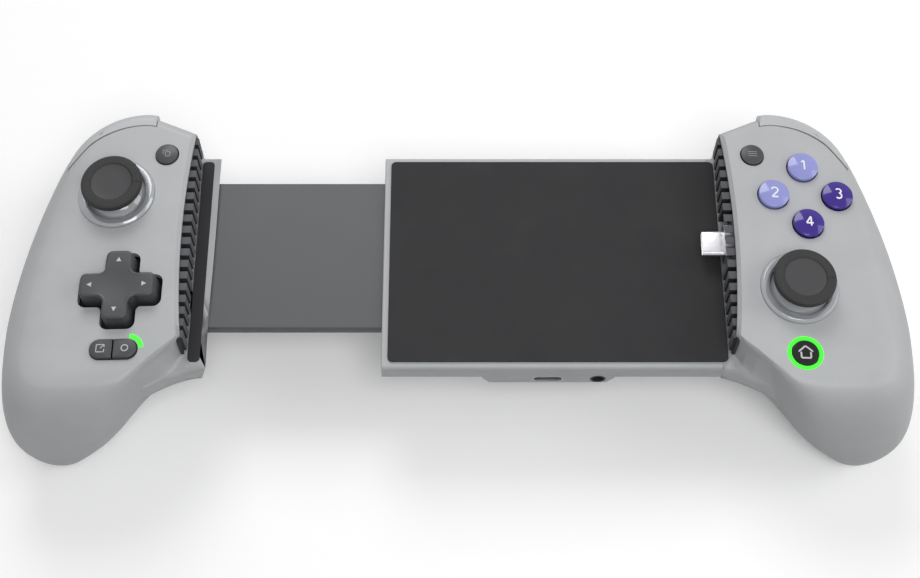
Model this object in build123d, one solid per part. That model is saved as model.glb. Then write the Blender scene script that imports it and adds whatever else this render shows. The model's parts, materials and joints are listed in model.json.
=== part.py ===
from build123d import *
import math
import os

# Telescopic game controller for a mobile phone. Two handles with sticks, buttons and triggers
# are joined by a flat bridge that pulls out, and the phone is clamped between them.
#
# The datum is the middle of the phone's glass: X runs to the right handle, Y to the shoulder
# buttons and Z out of the glass, towards the player. Both handles are drawn on the +X side, and
# the left one is then mirrored. Last, every piece is moved so that the origin lies under the
# middle of the whole controller, which lies on its back.

# Phone that the bridge is drawn open for, and the bridge's travel from there
phone_length = 160.0
closing_travel = 50.0
opening_travel = 25.0

# Handle: overall form
grip_span = 54.9
grip_depth = 38.6
reach_up = 46.0
reach_down = 61.2
face_height = 5.0
face_edge_gap = 1.0
face_tilt = 3.0
wall = 2.2
faceplate_thickness = 1.0
top_round = 3.4
seam_depth = 11.5
seam_depth_top = 9.0
seam_start = 34.0
seam_length = 30.0
seam_fall = 19.0
seam_bend = 6.5
overrun = 60.0

# Handle: stations from the shoulder to the tip. Shares of the reach (up or down), of the span
# (inner and outer edge) and of the depth (front, back, and the widest level at the inner and the
# outer edge).
station_shares = [
    (1.000, -0.109, 0.534, 0.160, -0.492, -0.052, -0.259),
    (0.739, -0.109, 0.692, 0.155, -0.518, -0.052, -0.259),
    (0.391, -0.109, 0.821, 0.150, -0.570, -0.052, -0.285),
    (0.000, -0.109, 0.918, 0.146, -0.648, -0.052, -0.311),
    (-0.261, -0.109, 0.973, 0.146, -0.751, 0.000, -0.311),
    (-0.458, -0.069, 0.995, 0.148, -0.868, 0.052, -0.311),
    (-0.588, 0.050, 0.998, 0.152, -0.953, 0.078, -0.324),
    (-0.703, 0.188, 0.996, 0.150, -1.000, 0.060, -0.350),
    (-0.801, 0.291, 0.989, 0.112, -1.000, -0.040, -0.389),
    (-0.882, 0.397, 0.973, 0.010, -0.964, -0.240, -0.466),
    (-0.948, 0.518, 0.922, -0.190, -0.896, -0.440, -0.570),
    (-0.989, 0.650, 0.811, -0.466, -0.803, -0.648, -0.674),
    (-1.000, 0.710, 0.762, -0.575, -0.725, -0.655, -0.667),
]
# Squareness of each station's corners: front inner, front outer and back
station_squareness = [
    (7.0, 4.0, 3.0),
    (7.0, 4.0, 3.0),
    (7.0, 4.0, 2.8),
    (7.0, 3.8, 2.6),
    (7.0, 3.6, 2.4),
    (7.0, 3.4, 2.3),
    (7.0, 3.1, 2.1),
    (7.0, 2.8, 2.0),
    (6.0, 2.5, 2.0),
    (4.5, 2.3, 2.0),
    (3.0, 2.1, 2.0),
    (2.2, 2.2, 2.0),
    (2.2, 2.2, 2.0),
]
station_points = 24

# Shoulder line of the shells and of the bumper: corners as shares of the span and of the upward
# reach, and the radii that round the two inner ones
shoulder_shares = [(-0.100, 0.696), (0.282, 0.904), (0.519, 0.874), (0.838, 0.446)]
shoulder_rounds = (18.0, 20.0)
bumper_line_shares = [(0.146, 0.889), (0.291, 0.926), (0.525, 0.904), (0.856, 0.433)]
bumper_line_rounds = (14.0, 24.0)

# Inner wall, hollowed lengthwise, that faces the phone's end, and its ribbed pad
inner_wall_gap = 0.3
lens_depth = 2.4
lens_half = 37.0
inner_bevel = 1.1
pad_recess = 1.2
pad_base = 0.9
pad_top = 3.2
pad_low = 8.3
pad_end = 35.4
tooth_gap = 0.1
tooth_count = 18
tooth_pitch = 3.85
tooth_width = 2.5

# Bumper
bumper_inner = 93.2
bumper_outer = 119.6
bumper_band = 5.2
bumper_low = 8.0
bumper_gap = 0.3
bumper_press = 1.2
bumper_pin_radius = 1.2
bumper_pin_inset = 3.2
bumper_pin_drop = 4.1
bumper_pin_top = 1.0
bumper_pin_end = 11.0

# Trigger, with the outline round its pivot in shares of its height
trigger_inner = 96.2
trigger_width = 18.6
trigger_gap = 0.6
trigger_pivot_y = 27.5
trigger_pivot_depth = 15.6
trigger_boss = 3.2
trigger_pin_radius = 1.5
trigger_pin_reach = 2.6
trigger_roof_gap = 1.1
trigger_clearance = 1.6
trigger_round = 1.2
trigger_height = 17.0
trigger_outer_shares = [(0.780, 0.100), (0.745, -0.300), (0.880, -0.800), (0.860, -0.950)]
trigger_inner_shares = [(0.640, -0.990), (0.400, -0.700), (0.230, -0.380)]
trigger_shoulder_share = 0.700
pocket_roof = 1.7

# Space for the electronics in each handle
bay_inner = 84.6
bay_top = 29.5
bay_floor = 13.4
bay_outer_shares = [
    (0.560, 0.640), (0.660, 0.500), (0.725, 0.280), (0.775, 0.000), (0.790, -0.245),
    (0.780, -0.470), (0.640, -0.593),
]
bay_corner_share = -0.430

# Stick, the same on both sides; heights are from the face
stick_left = (103.2, 12.9)
stick_right = (100.3, -18.9)
stick_pivot_depth = 7.0
stick_dome_radius = 11.0
stick_dome_wall = 1.0
stick_dome_edge = 4.0
stick_dome_gap = 0.45
stick_cap_radius = 9.2
stick_cap_top = 7.7
stick_cap_low = 5.3
stick_cap_round = 1.0
stick_dish_radius = 6.0
stick_dish_depth = 0.7
stick_neck_radius = 3.4
stick_shaft_radius = 2.2
stick_shaft_tail = 1.9
stick_socket = 1.2
stick_ring_outer = 11.8
stick_ring_inner = 9.1
stick_ring_height = 1.3
stick_ring_skirt = 0.7
stick_hole = 10.25
gimbal_ball = 3.0
gimbal_inner = 3.5
gimbal_outer = 4.9
gimbal_height = 2.4
gimbal_pin = 0.8
module_half = 6.5
module_wall = 0.8
module_top = 5.7
module_floor = 0.6

# Circuit boards and their screws
board_depth = 11.0
board_thickness = 1.6
board_clearance = 0.7
boss_radius = 2.4
screw_radius = 0.9
screw_length = 5.0
screw_head_radius = 1.8
screw_head_height = 1.0
left_boss_places = [(88.0, 17.0), (116.5, 0.0), (118.0, -27.0), (87.4, -3.0)]
right_boss_places = [(87.4, -24.2), (117.5, -12.0), (118.0, -28.0), (97.0, 25.5)]

# Screws that close each case, set from the front under the faceplate
case_screw_places = [(86.0, 32.2), (113.0, -41.5), (88.2, -33.2)]
case_screw_radius = 1.0
case_screw_length = 19.5
case_screw_head_radius = 1.9
case_screw_head_height = 1.2

# D-pad; heights are from the face
dpad_place = (99.1, -19.8)
dpad_span = 23.2
dpad_arm = 8.8
dpad_height = 4.6
dpad_draft = 1.0
dpad_tip_round = 2.4
dpad_inner_round = 1.4
dpad_edge_round = 0.6
dpad_dish_radius = 26.0
dpad_dish_depth = 0.45
dpad_gap = 0.8
dpad_rock = 4.0
dpad_flange_radius = 13.0
dpad_flange = 1.0
dpad_flange_drop = 1.7
dpad_pivot_depth = 8.0
dpad_stem = 1.7
dpad_pin = 0.65
dpad_ring_inner = 2.4
dpad_ring_outer = 3.7
dpad_ring_height = 2.0
dpad_box_half = 5.2
dpad_box_wall = 0.8
dpad_box_rise = 1.4
dpad_dome_place = 9.0
dpad_dome_radius = 1.8
dpad_dome_gap = 0.6
dpad_membrane_rim = 0.6

# Face buttons; heights are from the face
face_button_centre = (104.9, 12.2)
face_button_pitch = 9.7
face_button_radius = 4.65
face_button_height = 2.3
face_button_dome = 0.9
face_button_travel = 1.2

# Small buttons; heights are from the face
view_button_place = (88.9, 26.3)
menu_button_place = (89.9, 26.1)
small_button_radius = 3.45
small_button_height = 1.1
small_button_dome = 0.5
small_button_travel = 0.6
pill_place = (99.3, -38.7)
pill_length = 13.8
pill_breadth = 6.0
pill_split = 0.4
pill_height = 1.2
pill_edge = 0.3
home_place = (100.0, -39.8)
home_button_radius = 3.9
home_button_height = 0.6
home_button_dome = 0.2
light_depth = 1.3
light_height = 0.25
home_light_radius = 5.2
mode_light_gap = 0.3
mode_light_width = 1.3
mode_light_sweep = 75.0
mode_light_start = 97.0

# What all pressed buttons share
button_gap = 0.25
button_stem = 3.2
button_flange = 0.8
button_flange_rim = 0.9
pocket_gap = 0.3
pocket_depth = 9.2
membrane_gap = 0.15
membrane_thickness = 0.8

# Back buttons
back_button_place = (107.0, -9.0)
back_button_length = 18.0
back_button_breadth = 10.0
back_button_proud = 0.9
back_button_travel = 0.8
back_button_rim = 1.2
back_button_flange = 1.0
back_button_ledge = 6.0
back_button_stem = 2.0

# Bridge housing, fixed to the right handle, and the shelf of the left handle
bridge_front = 9.1
bridge_thickness = 7.4
bridge_seam = 11.3
bridge_low_edge = 38.8
bridge_high_edge = 33.5
bridge_end = 22.8
bridge_round = 1.2
bridge_front_wall = 1.3
bridge_bulge = 4.5
bulge_start = 7.2
bulge_end = 46.8
bulge_ramp = 3.2
bulge_breadth = 18.0
shelf_end = 74.6
shelf_draft = 2.1
housing_joint = 78.6
gusset_shares = [(0.035, -0.650), (0.145, -0.690), (0.250, -0.745), (0.400, -0.830)]
rubber_thickness = 0.7
rubber_rim = 1.9
rubber_round = 1.5

# Tongue of the housing in the right handle, below the electronics
tongue_reach = 7.0
tongue_half = 20.0
tongue_depth = 13.9
tongue_thickness = 2.0

# Slider that the left handle travels on
slider_half = 25.0
slider_thickness = 3.6
slider_tip = 25.0
slider_root = 4.0
slider_gap = 0.3
slider_stop = 4.0

# Sockets in the bridge's lower edge
socket_depth = 17.2
usb_socket_x = 26.9
usb_socket_width = 8.94
usb_socket_height = 3.26
usb_socket_wall = 0.3
usb_socket_length = 7.5
usb_tongue_width = 6.7
usb_tongue_height = 0.7
usb_tongue_inset = 1.0
jack_x = 41.9
jack_radius = 1.8
jack_body_radius = 2.4
jack_length = 11.6
jack_bore_length = 10.8

# Hinged plug in the right handle
plug_depth = 4.0
plug_block_half = 5.35
plug_block_height = 6.4
plug_block_front = 80.4
plug_block_back = 88.2
plug_pivot = 85.4
plug_pin_radius = 1.0
plug_width = 8.25
plug_height = 2.4
plug_length = 6.5
plug_wall = 0.3
plug_window_half = 9.3
plug_window_top = 1.7
plug_window_low = 8.9
plug_gap = 0.3
plug_lug = 2.2
plug_lug_half = 2.0
plug_cavity_back = 90.2

# Running fit of a pin in its bore
fit_gap = 0.05

half_gap = phone_length / 2
face_edge = half_gap + face_edge_gap
outer_edge = half_gap + grip_span
tilt_slope = math.tan(math.radians(face_tilt))
tilt_sin = math.sin(math.radians(face_tilt))
tilt_cos = math.cos(math.radians(face_tilt))
lens_radius = (lens_half ** 2 + lens_depth ** 2) / (2 * lens_depth)
lens_centre = half_gap + inner_wall_gap + lens_depth - lens_radius
bridge_back = bridge_front + bridge_thickness
slider_top = bridge_front + bridge_front_wall + slider_gap
slider_low = slider_top + slider_thickness
dpad_flange_top = wall + dpad_flange_drop
dpad_membrane_radius = dpad_dome_place + dpad_dome_radius + dpad_membrane_rim
button_low = wall + button_stem
trigger_roof = trigger_pivot_depth - trigger_boss - trigger_roof_gap
trigger_bay_low = trigger_pivot_y - trigger_boss - trigger_clearance
trigger_bay_inner = trigger_inner - trigger_gap
trigger_bay_outer = trigger_inner + trigger_width + trigger_gap

DOWN = (Align.CENTER, Align.CENTER, Align.MAX)
UP = (Align.CENTER, Align.CENTER, Align.MIN)


# Shared shapes

def face_level(x):
    """Height of the tilted face plane over the datum at x."""
    return face_height - tilt_slope * (x - face_edge)


def on_face(place):
    """Plane on the face at a place in plan, with its normal out of the face."""
    x, y = place
    return Plane(origin=(x, y, face_level(x)), x_dir=(tilt_cos, 0, -tilt_sin), z_dir=(tilt_sin, 0, tilt_cos))


def post(radius, low, high, x=0.0, y=0.0):
    """Upright round bar between two heights."""
    return Pos(x, y, low) * Cylinder(radius, high - low, align=UP)


def block(x0, x1, y0, y1, z0, z1):
    """Box between two corners."""
    return Pos((x0 + x1) / 2, (y0 + y1) / 2, (z0 + z1) / 2) * Box(x1 - x0, y1 - y0, z1 - z0)


def bar_x(radius, x0, x1, y, z):
    """Round bar along X."""
    return Pos((x0 + x1) / 2, y, z) * Rot(0, 90, 0) * Cylinder(radius, x1 - x0)


def bar_y(radius, y0, y1, x, z):
    """Round bar along Y."""
    return Pos(x, (y0 + y1) / 2, z) * Rot(90, 0, 0) * Cylinder(radius, y1 - y0)


def prism(sketch, low, high):
    """Upright prism of a sketch between two heights."""
    return Pos(0, 0, low) * extrude(sketch, high - low, dir=(0, 0, 1))


def capsule(length, breadth, low, high):
    """Upright prism with round ends, its length along X."""
    return prism(SlotOverall(length, breadth), low, high)


def domed_bar(radius, low, high, rise):
    """Upright round bar whose top is a shallow dome of the given rise."""
    dome_radius = (radius ** 2 + rise ** 2) / (2 * rise)
    ball = Pos(0, 0, high - dome_radius) * Sphere(dome_radius)
    return post(radius, low, high - rise) + (post(radius, high - 2 * rise, high) & ball)


def plan_points(shares):
    """Points in plan from shares of the span and of the upward or downward reach."""
    return [(half_gap + across * grip_span, along * (reach_up if along > 0 else reach_down))
            for across, along in shares]


# Handle form

def station_outline(shares, squareness):
    """One closed section of the handle, a rounded box with its own corner for each quarter."""
    along, inner, outer, front, back, inner_level, outer_level = shares
    front_inner, front_outer, rear = squareness
    y = along * (reach_up if along > 0 else reach_down)
    half_width = (outer - inner) * grip_span / 2
    middle = half_gap + (outer + inner) * grip_span / 2
    points = []
    for step in range(station_points):
        angle = 2 * math.pi * step / station_points
        across = math.cos(angle)
        rise = math.sin(angle)
        power = rear if rise < 0 else (front_outer if across > 0 else front_inner)
        across = math.copysign(abs(across) ** (2 / power), across)
        rise = math.copysign(abs(rise) ** (2 / power), rise)
        level = grip_depth * ((inner_level + outer_level) / 2 + (outer_level - inner_level) / 2 * across)
        height = grip_depth * front - level if rise >= 0 else level - grip_depth * back
        x = middle + half_width * across
        points.append((x, y, level + height * rise - tilt_slope * (x - face_edge)))
    return Wire([Spline(*points, periodic=True)])


def handle_form():
    """The whole handle, before its face and its inner wall are cut."""
    outlines = [station_outline(*rows) for rows in zip(station_shares, station_squareness)]
    return Solid.make_loft(outlines)


def under_face(depth=0.0):
    """Everything under the face plane, or under a level below it."""
    return on_face((face_edge, 0)) * Pos(0, 0, -depth) * Box(4 * overrun, 4 * overrun, 4 * overrun, align=DOWN)


def lens(extra=0.0):
    """Round column whose side is the hollow inner wall, or lies behind it."""
    return post(lens_radius + extra, -overrun, overrun, lens_centre)


def shoulder_line(shares, rounds, inset=0.0):
    """Rounded line over the shoulder, drawn on past the handle, and its two ends."""
    points = [(x, y - inset) for x, y in plan_points(shares)]
    end = points[-1]
    slope = (end[1] - points[-2][1]) / (end[0] - points[-2][0])
    points[-1] = (end[0] + overrun, end[1] + overrun * slope)
    return FilletPolyline(*points, radius=list(rounds)), points[0], points[-1]


def shoulder_cut(shares, rounds):
    """Everything under the face and inside a shoulder line, with the rim between them rounded."""
    line, start, end = shoulder_line(shares, rounds)
    rest = Polyline(end, (end[0], -2 * overrun), (start[0], -2 * overrun), start)
    cut = prism(make_face(line + rest), -2 * overrun, 0)
    rim = [edge for edge in cut.faces().sort_by(Axis.Z)[-1].edges()
           if edge.center().Y > 0 and abs(edge.tangent_at(0).X) > tilt_sin]
    return on_face((face_edge, 0)) * Pos(-face_edge, 0, 0) * fillet(rim, top_round)


def above_seam():
    """Everything in front of the seam between the front and the back shell."""
    end = (-seam_start - seam_length, -seam_depth - seam_fall)
    start = (-seam_start, -seam_depth)
    middle = (-seam_start - seam_length / 2, -seam_depth - seam_bend)
    seam = Spline(start, middle, end)
    rest = Polyline(end, (-3 * overrun, end[1]), (-3 * overrun, 2 * overrun), (2 * overrun, 2 * overrun),
                    (2 * overrun, -seam_depth_top), (reach_up, -seam_depth_top), start)
    sketch = Plane.YZ * make_face(seam + rest)
    return extrude(sketch, 4 * overrun, dir=(1, 0, 0))


def bumper_region(gap):
    """Upright prism that holds the bumper, widened by a gap."""
    line, start, end = shoulder_line(bumper_line_shares, bumper_line_rounds, bumper_band + gap)
    rest = Polyline(end, (end[0], 2 * reach_up), (start[0], 2 * reach_up), start)
    region = prism(make_face(line + rest), -bumper_low - gap, overrun)
    return region & block(bumper_inner - gap, bumper_outer + gap, -overrun, 2 * overrun, -overrun, overrun)


def bumper_pivot():
    """Middle of the bumper's upright pin, in plan."""
    corner = plan_points(bumper_line_shares)[1]
    return bumper_inner + bumper_pin_inset, corner[1] - bumper_pin_drop


def swung_bumper(shape):
    """A shape of the bumper turned to its pressed place."""
    x, y = bumper_pivot()
    return Pos(x, y, 0) * Rot(0, 0, -bumper_press) * Pos(-x, -y, 0) * shape


def bay_sketch(inset=0.0):
    """Outline of the room for the electronics, in plan, or of what lies inside it."""
    outer = [(x - inset, y) for x, y in plan_points(bay_outer_shares)]
    outer[-1] = (outer[-1][0], outer[-1][1] + inset)
    high = bay_top - inset
    corner = (bay_inner + inset, bay_corner_share * reach_down + inset)
    rest = Polyline(outer[-1], corner, (bay_inner + inset, high), (outer[0][0], high), outer[0])
    return make_face(Spline(*outer) + rest)


def electronics_bay():
    """Room for the electronics: parallel to the face in front, level at its floor, over the trigger's pocket."""
    room = prism(bay_sketch(), -bay_floor, overrun) & under_face(wall)
    guard = block(trigger_bay_inner - wall, trigger_bay_outer + wall, trigger_bay_low - wall, 2 * overrun,
                  -2 * overrun, pocket_roof - trigger_roof)
    return room - guard


def trigger_bay():
    """Pocket in the back shell that the trigger swings in."""
    return block(trigger_bay_inner, trigger_bay_outer, trigger_bay_low, 2 * overrun, -2 * overrun, -trigger_roof)


# Sticks, drawn round their own axis with the face at height zero

def stick_ring():
    """Clear collar round a stick, seated in the face."""
    ring = post(stick_ring_outer, 0, stick_ring_height)
    ring = chamfer(ring.edges().filter_by(GeomType.CIRCLE).sort_by(Axis.Z)[-1:], stick_ring_height / 3)
    ring = ring + post(stick_hole - fit_gap, -stick_ring_skirt, 0)
    room = Pos(0, 0, -stick_pivot_depth) * Sphere(stick_dome_radius + stick_dome_gap)
    return ring - post(stick_ring_inner, -stick_ring_skirt, stick_ring_height) - room


def stick_shaft():
    """Dome, neck and shaft of a stick, in one piece."""
    edge = stick_pivot_depth - stick_dome_edge
    dome = Sphere(stick_dome_radius) & post(stick_dome_radius, edge, stick_dome_radius)
    dome = dome - Sphere(stick_dome_radius - stick_dome_wall)
    cap_low = stick_pivot_depth + stick_cap_low
    neck = post(stick_neck_radius, stick_dome_radius - 2 * stick_dome_wall, cap_low)
    shaft = post(stick_shaft_radius, -stick_shaft_tail, cap_low + stick_socket)
    return Pos(0, 0, -stick_pivot_depth) * (dome + neck + shaft)


def stick_cap():
    """Rubber cap with a dished top and a blind socket for the shaft."""
    cap = post(stick_cap_radius, stick_cap_low, stick_cap_top)
    cap = fillet(cap.edges().filter_by(GeomType.CIRCLE).sort_by(Axis.Z)[-1:], stick_cap_round)
    cap = chamfer(cap.edges().filter_by(GeomType.CIRCLE).sort_by(Axis.Z)[:1], stick_cap_round / 2)
    dish = (stick_dish_radius ** 2 + stick_dish_depth ** 2) / (2 * stick_dish_depth)
    cap = cap - Pos(0, 0, stick_cap_top - stick_dish_depth + dish) * Sphere(dish)
    return cap - post(stick_shaft_radius, stick_cap_low, stick_cap_low + stick_socket)


def stick_pivot():
    """Ball that the shaft slides in, with its two pins along Y."""
    ball = Sphere(gimbal_ball) + bar_y(gimbal_pin, -gimbal_outer, gimbal_outer, 0, 0)
    bore = post(stick_shaft_radius + fit_gap, -gimbal_outer, gimbal_outer)
    return Pos(0, 0, -stick_pivot_depth) * (ball - bore)


def gimbal_ring(inner, outer, height, pin, reach):
    """Ring with two pins along X, bored along Y for the pins of what rocks in it."""
    ring = post(outer, -height / 2, height / 2) + bar_x(pin, -reach, reach, 0, 0)
    ring = ring - post(inner, -height / 2, height / 2)
    return ring - bar_y(pin + fit_gap, -outer, outer, 0, 0)


def gimbal_box(half, thickness, top, pin, depth):
    """Open box on the board, bored along X for the ring's pins."""
    inner = half - thickness
    low = -board_depth
    box = block(-half, half, -half, half, low, top) - block(-inner, inner, -inner, inner, low + module_floor, half)
    return box - bar_x(pin + fit_gap, -half, half, 0, -depth)


def stick_rocker():
    """Gimbal ring of a stick."""
    reach = module_half - module_wall / 4
    return Pos(0, 0, -stick_pivot_depth) * gimbal_ring(gimbal_inner, gimbal_outer, gimbal_height, gimbal_pin, reach)


def stick_module():
    """Box of a stick's module."""
    return gimbal_box(module_half, module_wall, -module_top, gimbal_pin, stick_pivot_depth)


# Buttons, drawn round their own axis with the face at height zero

def round_button(radius, height, dome):
    """Round domed button with the flange that holds it under the face."""
    flange = post(radius + button_flange_rim, -wall - button_flange, -wall)
    return domed_bar(radius, -button_low, height, dome) + flange


def button_hole(radius):
    """Hole in the face for a round button."""
    return post(radius + button_gap, -wall - button_flange, overrun)


def button_pocket(radius):
    """Room under the face for a round button's flange and stem."""
    return post(radius + button_flange_rim + pocket_gap, -pocket_depth, -wall)


def membrane_puck(radius, travel, foot):
    """Rubber dome on its foot, just clear of a pressed button."""
    dome = post(radius - button_flange_rim, -foot, -button_low - travel - membrane_gap)
    return dome + post(radius - button_flange_rim / 2, -foot, membrane_thickness - foot)


def pill_half(outward):
    """Outer or inner half of the pill-shaped pair, with its flange."""
    pill = capsule(pill_length, pill_breadth, -button_low, pill_height)
    pill = chamfer(pill.faces().sort_by(Axis.Z)[-1].edges(), pill_edge)
    rim = 2 * button_flange_rim
    pill = pill + capsule(pill_length + rim, pill_breadth + rim, -wall - button_flange, -wall)
    keep = block(pill_split / 2, pill_length, -pill_length, pill_length, -pocket_depth, pill_length)
    return pill & (keep if outward else mirror(keep, about=Plane.YZ))


def pill_hole():
    """Hole in the face for the pill-shaped pair."""
    return capsule(pill_length + 2 * button_gap, pill_breadth + 2 * button_gap, -wall - button_flange, overrun)


def pill_pocket():
    """Room under the face for the pair's flanges."""
    rim = 2 * (button_flange_rim + pocket_gap)
    return capsule(pill_length + rim, pill_breadth + rim, -pocket_depth, -wall)


def pill_membrane():
    """Rubber domes under the pair."""
    top = -button_low - small_button_travel - membrane_gap
    pad = capsule(pill_length, pill_breadth, -pocket_depth, membrane_thickness - pocket_depth)
    for side in (-1, 1):
        pad = pad + post(pill_breadth / 3, -pocket_depth, top, side * pill_length / 4)
    return pad


def mode_light():
    """Crescent light round the upper inner end of the pair."""
    inner = pill_breadth / 2 + mode_light_gap + button_gap
    path = CenterArc((0, 0), inner + mode_light_width / 2, mode_light_start, mode_light_sweep)
    light = prism(trace(path, mode_light_width), -light_depth, light_height)
    return Pos(pill_breadth / 2 - pill_length / 2, 0, 0) * light


def home_light():
    """Light ring round the home button."""
    ring = post(home_light_radius, -light_depth, light_height)
    return ring - post(home_button_radius + button_gap, -light_depth, light_height)


# D-pad, drawn round its own axis with the face at height zero

def cross_sketch(span, arm, tip, inner):
    """Plus sign with rounded tips and inner corners."""
    sketch = Rectangle(span, arm) + Rectangle(arm, span)
    sketch = fillet(sketch.vertices().sort_by(lambda v: abs(v.X) + abs(v.Y))[:4], inner)
    corners = [v for v in sketch.vertices() if max(abs(v.X), abs(v.Y)) > span / 2 - fit_gap]
    return fillet(corners, tip)


def dpad():
    """Drafted plus-shaped pad with a dished middle, a flange, and a stem with its two pins along Y."""
    top = cross_sketch(dpad_span - 2 * dpad_draft, dpad_arm - 2 * dpad_draft, dpad_tip_round, dpad_inner_round)
    foot = cross_sketch(dpad_span, dpad_arm, dpad_tip_round, dpad_inner_round)
    upper = loft([foot, Pos(0, 0, dpad_height) * top], ruled=True)
    upper = chamfer(upper.faces().sort_by(Axis.Z)[-1].edges(), dpad_edge_round)
    dish = Pos(0, 0, dpad_height - dpad_dish_depth + dpad_dish_radius) * Sphere(dpad_dish_radius)
    lower = prism(foot, -dpad_flange_top, 0)
    flange = post(dpad_flange_radius, -dpad_flange_top - dpad_flange, -dpad_flange_top)
    stem = post(dpad_stem, -dpad_pivot_depth - dpad_pin, -dpad_flange_top)
    pins = bar_y(dpad_pin, -dpad_ring_outer, dpad_ring_outer, 0, -dpad_pivot_depth)
    return upper - dish + lower + flange + stem + pins


def dpad_hole():
    """Hole in the face for the D-pad."""
    sketch = cross_sketch(dpad_span + 2 * dpad_gap, dpad_arm + 2 * dpad_gap, dpad_tip_round, dpad_inner_round)
    return prism(sketch, -dpad_flange_top, overrun)


def dpad_rocker():
    """Gimbal ring that the D-pad's stem rocks in."""
    reach = dpad_box_half - dpad_box_wall / 4
    ring = gimbal_ring(dpad_ring_inner, dpad_ring_outer, dpad_ring_height, dpad_pin, reach)
    return Pos(0, 0, -dpad_pivot_depth) * ring


def dpad_box():
    """Box on the board that carries the D-pad's ring."""
    return gimbal_box(dpad_box_half, dpad_box_wall, dpad_box_rise - dpad_pivot_depth, dpad_pin, dpad_pivot_depth)


def dpad_membrane():
    """Rubber disc with a dome under each arm, cut out round the box."""
    low = -board_depth
    swing = dpad_flange_radius * math.sin(math.radians(dpad_rock))
    top = -dpad_flange_top - dpad_flange - swing - dpad_dome_gap
    pad = post(dpad_membrane_radius, low, low + membrane_thickness)
    for turn in range(4):
        angle = math.pi * turn / 2
        pad = pad + post(dpad_dome_radius, low, top, dpad_dome_place * math.cos(angle),
                         dpad_dome_place * math.sin(angle))
    room = dpad_box_half + pocket_gap
    return pad - block(-room, room, -room, room, -2 * board_depth, 0)


# Parts of a handle

def face_button_places():
    """Places of the four face buttons, by their names."""
    x, y = face_button_centre
    return {
        "face_button_left": (x - face_button_pitch, y),
        "face_button_top": (x, y + face_button_pitch),
        "face_button_bottom": (x, y - face_button_pitch),
        "face_button_right": (x + face_button_pitch, y),
    }


def shelf(start):
    """Flat shelf at the handle's inner side, as far as the inner wall."""
    plate = block(start, face_edge + wall, -bridge_low_edge, bridge_high_edge, -bridge_back, -bridge_front)
    return fillet(plate.edges().filter_by(Axis.X), bridge_round)


def shelf_end_cut():
    """What the draft takes off the left shelf's end."""
    sketch = make_face(Polyline((0, 0), (shelf_end, 0), (shelf_end, -bridge_front),
                                (shelf_end + shelf_draft, -bridge_back), (shelf_end + shelf_draft, -overrun),
                                (0, -overrun), (0, 0)))
    return extrude(Plane.XZ * sketch, 2 * overrun, both=True)


def gusset(start):
    """Web that runs from the lower edge of the shelf or housing into the handle."""
    points = [(start, -bridge_low_edge)] + plan_points(gusset_shares)
    end = points[-1]
    rest = Polyline(end, (end[0], -bridge_low_edge / 2), (start, -bridge_low_edge / 2), points[0])
    return prism(make_face(Spline(*points) + rest), -bridge_back, -bridge_front)


def slider_bar(x0, x1, half, gap=0.0):
    """Bar of the slider's thickness, widened by a gap."""
    return block(x0, x1, -half - gap, half + gap, -slider_low - gap, gap - slider_top)


def tongue():
    """Tongue that ties the bridge housing to the right handle."""
    return block(housing_joint, face_edge + tongue_reach, -tongue_half, tongue_half,
                 -tongue_depth - tongue_thickness, -tongue_depth)


def pad_window(x0, x1):
    """Block over the outline of the pad, between two places along X."""
    plate = block(x0, x1, -pad_end, pad_end, -pad_low, pad_top)
    return fillet(plate.edges().filter_by(Axis.X), tooth_pitch / 2)


def plug_window():
    """Window for the plug in the pad and the inner wall, and the room behind it."""
    return block(half_gap / 2, plug_cavity_back, -plug_window_half, plug_window_half,
                 -plug_window_low, plug_window_top)


def phone_pad(window):
    """Ribbed rubber pad on the inner wall: a curved skin with upright teeth in one plane."""
    seat = lens(pad_recess)
    skin = (pad_window(half_gap, face_edge + overrun) & seat) - lens(pad_recess - pad_base)
    first = -tooth_pitch * (tooth_count - 1) / 2
    for index in range(tooth_count):
        middle = first + index * tooth_pitch
        tooth = block(half_gap + tooth_gap, face_edge + wall, middle - tooth_width / 2, middle + tooth_width / 2,
                      tooth_width / 2 - pad_low, pad_top - tooth_width / 2)
        skin = skin + (tooth & seat)
    return skin - plug_window() if window else skin


def back_button_capsule(grow, low, high):
    """Upright capsule at the back button's place, widened by a margin."""
    x, y = back_button_place
    upright = capsule(back_button_length + 2 * grow, back_button_breadth + 2 * grow, low, high)
    return Pos(x, y, 0) * Rot(0, 0, 90) * upright


def back_button_ledge_level(form):
    """Level of the ledge that the back button's flange rests on."""
    return (form & back_button_capsule(0, -overrun, -bay_floor)).bounding_box().min.Z + back_button_ledge


def back_button(form, ledge):
    """Back button that follows the handle's underside, with its flange and the stem to its switch."""
    outside = Pos(0, 0, -back_button_proud) * form
    body = back_button_capsule(0, -overrun, ledge + back_button_flange) & outside
    body = body + back_button_capsule(back_button_rim, ledge, ledge + back_button_flange)
    x, y = back_button_place
    high = face_level(x) - board_depth - board_thickness - 2 * back_button_travel
    return body + post(back_button_stem, ledge, high, x, y)


def back_button_room(ledge):
    """Mouth for the back button, and the room for its flange up to the electronics."""
    mouth = back_button_capsule(button_gap, -overrun, ledge)
    return mouth + back_button_capsule(back_button_rim + pocket_gap, ledge, -bay_floor)


def plug_lug_block(side, top):
    """Bearing of the plug's pin on one side, standing on the back shell."""
    start = plug_block_half + plug_gap
    near, far = sorted((side * start, side * (start + plug_lug)))
    return block(plug_pivot - plug_lug_half, plug_pivot + plug_lug_half, near, far, -bay_floor - wall / 2, top)


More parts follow.
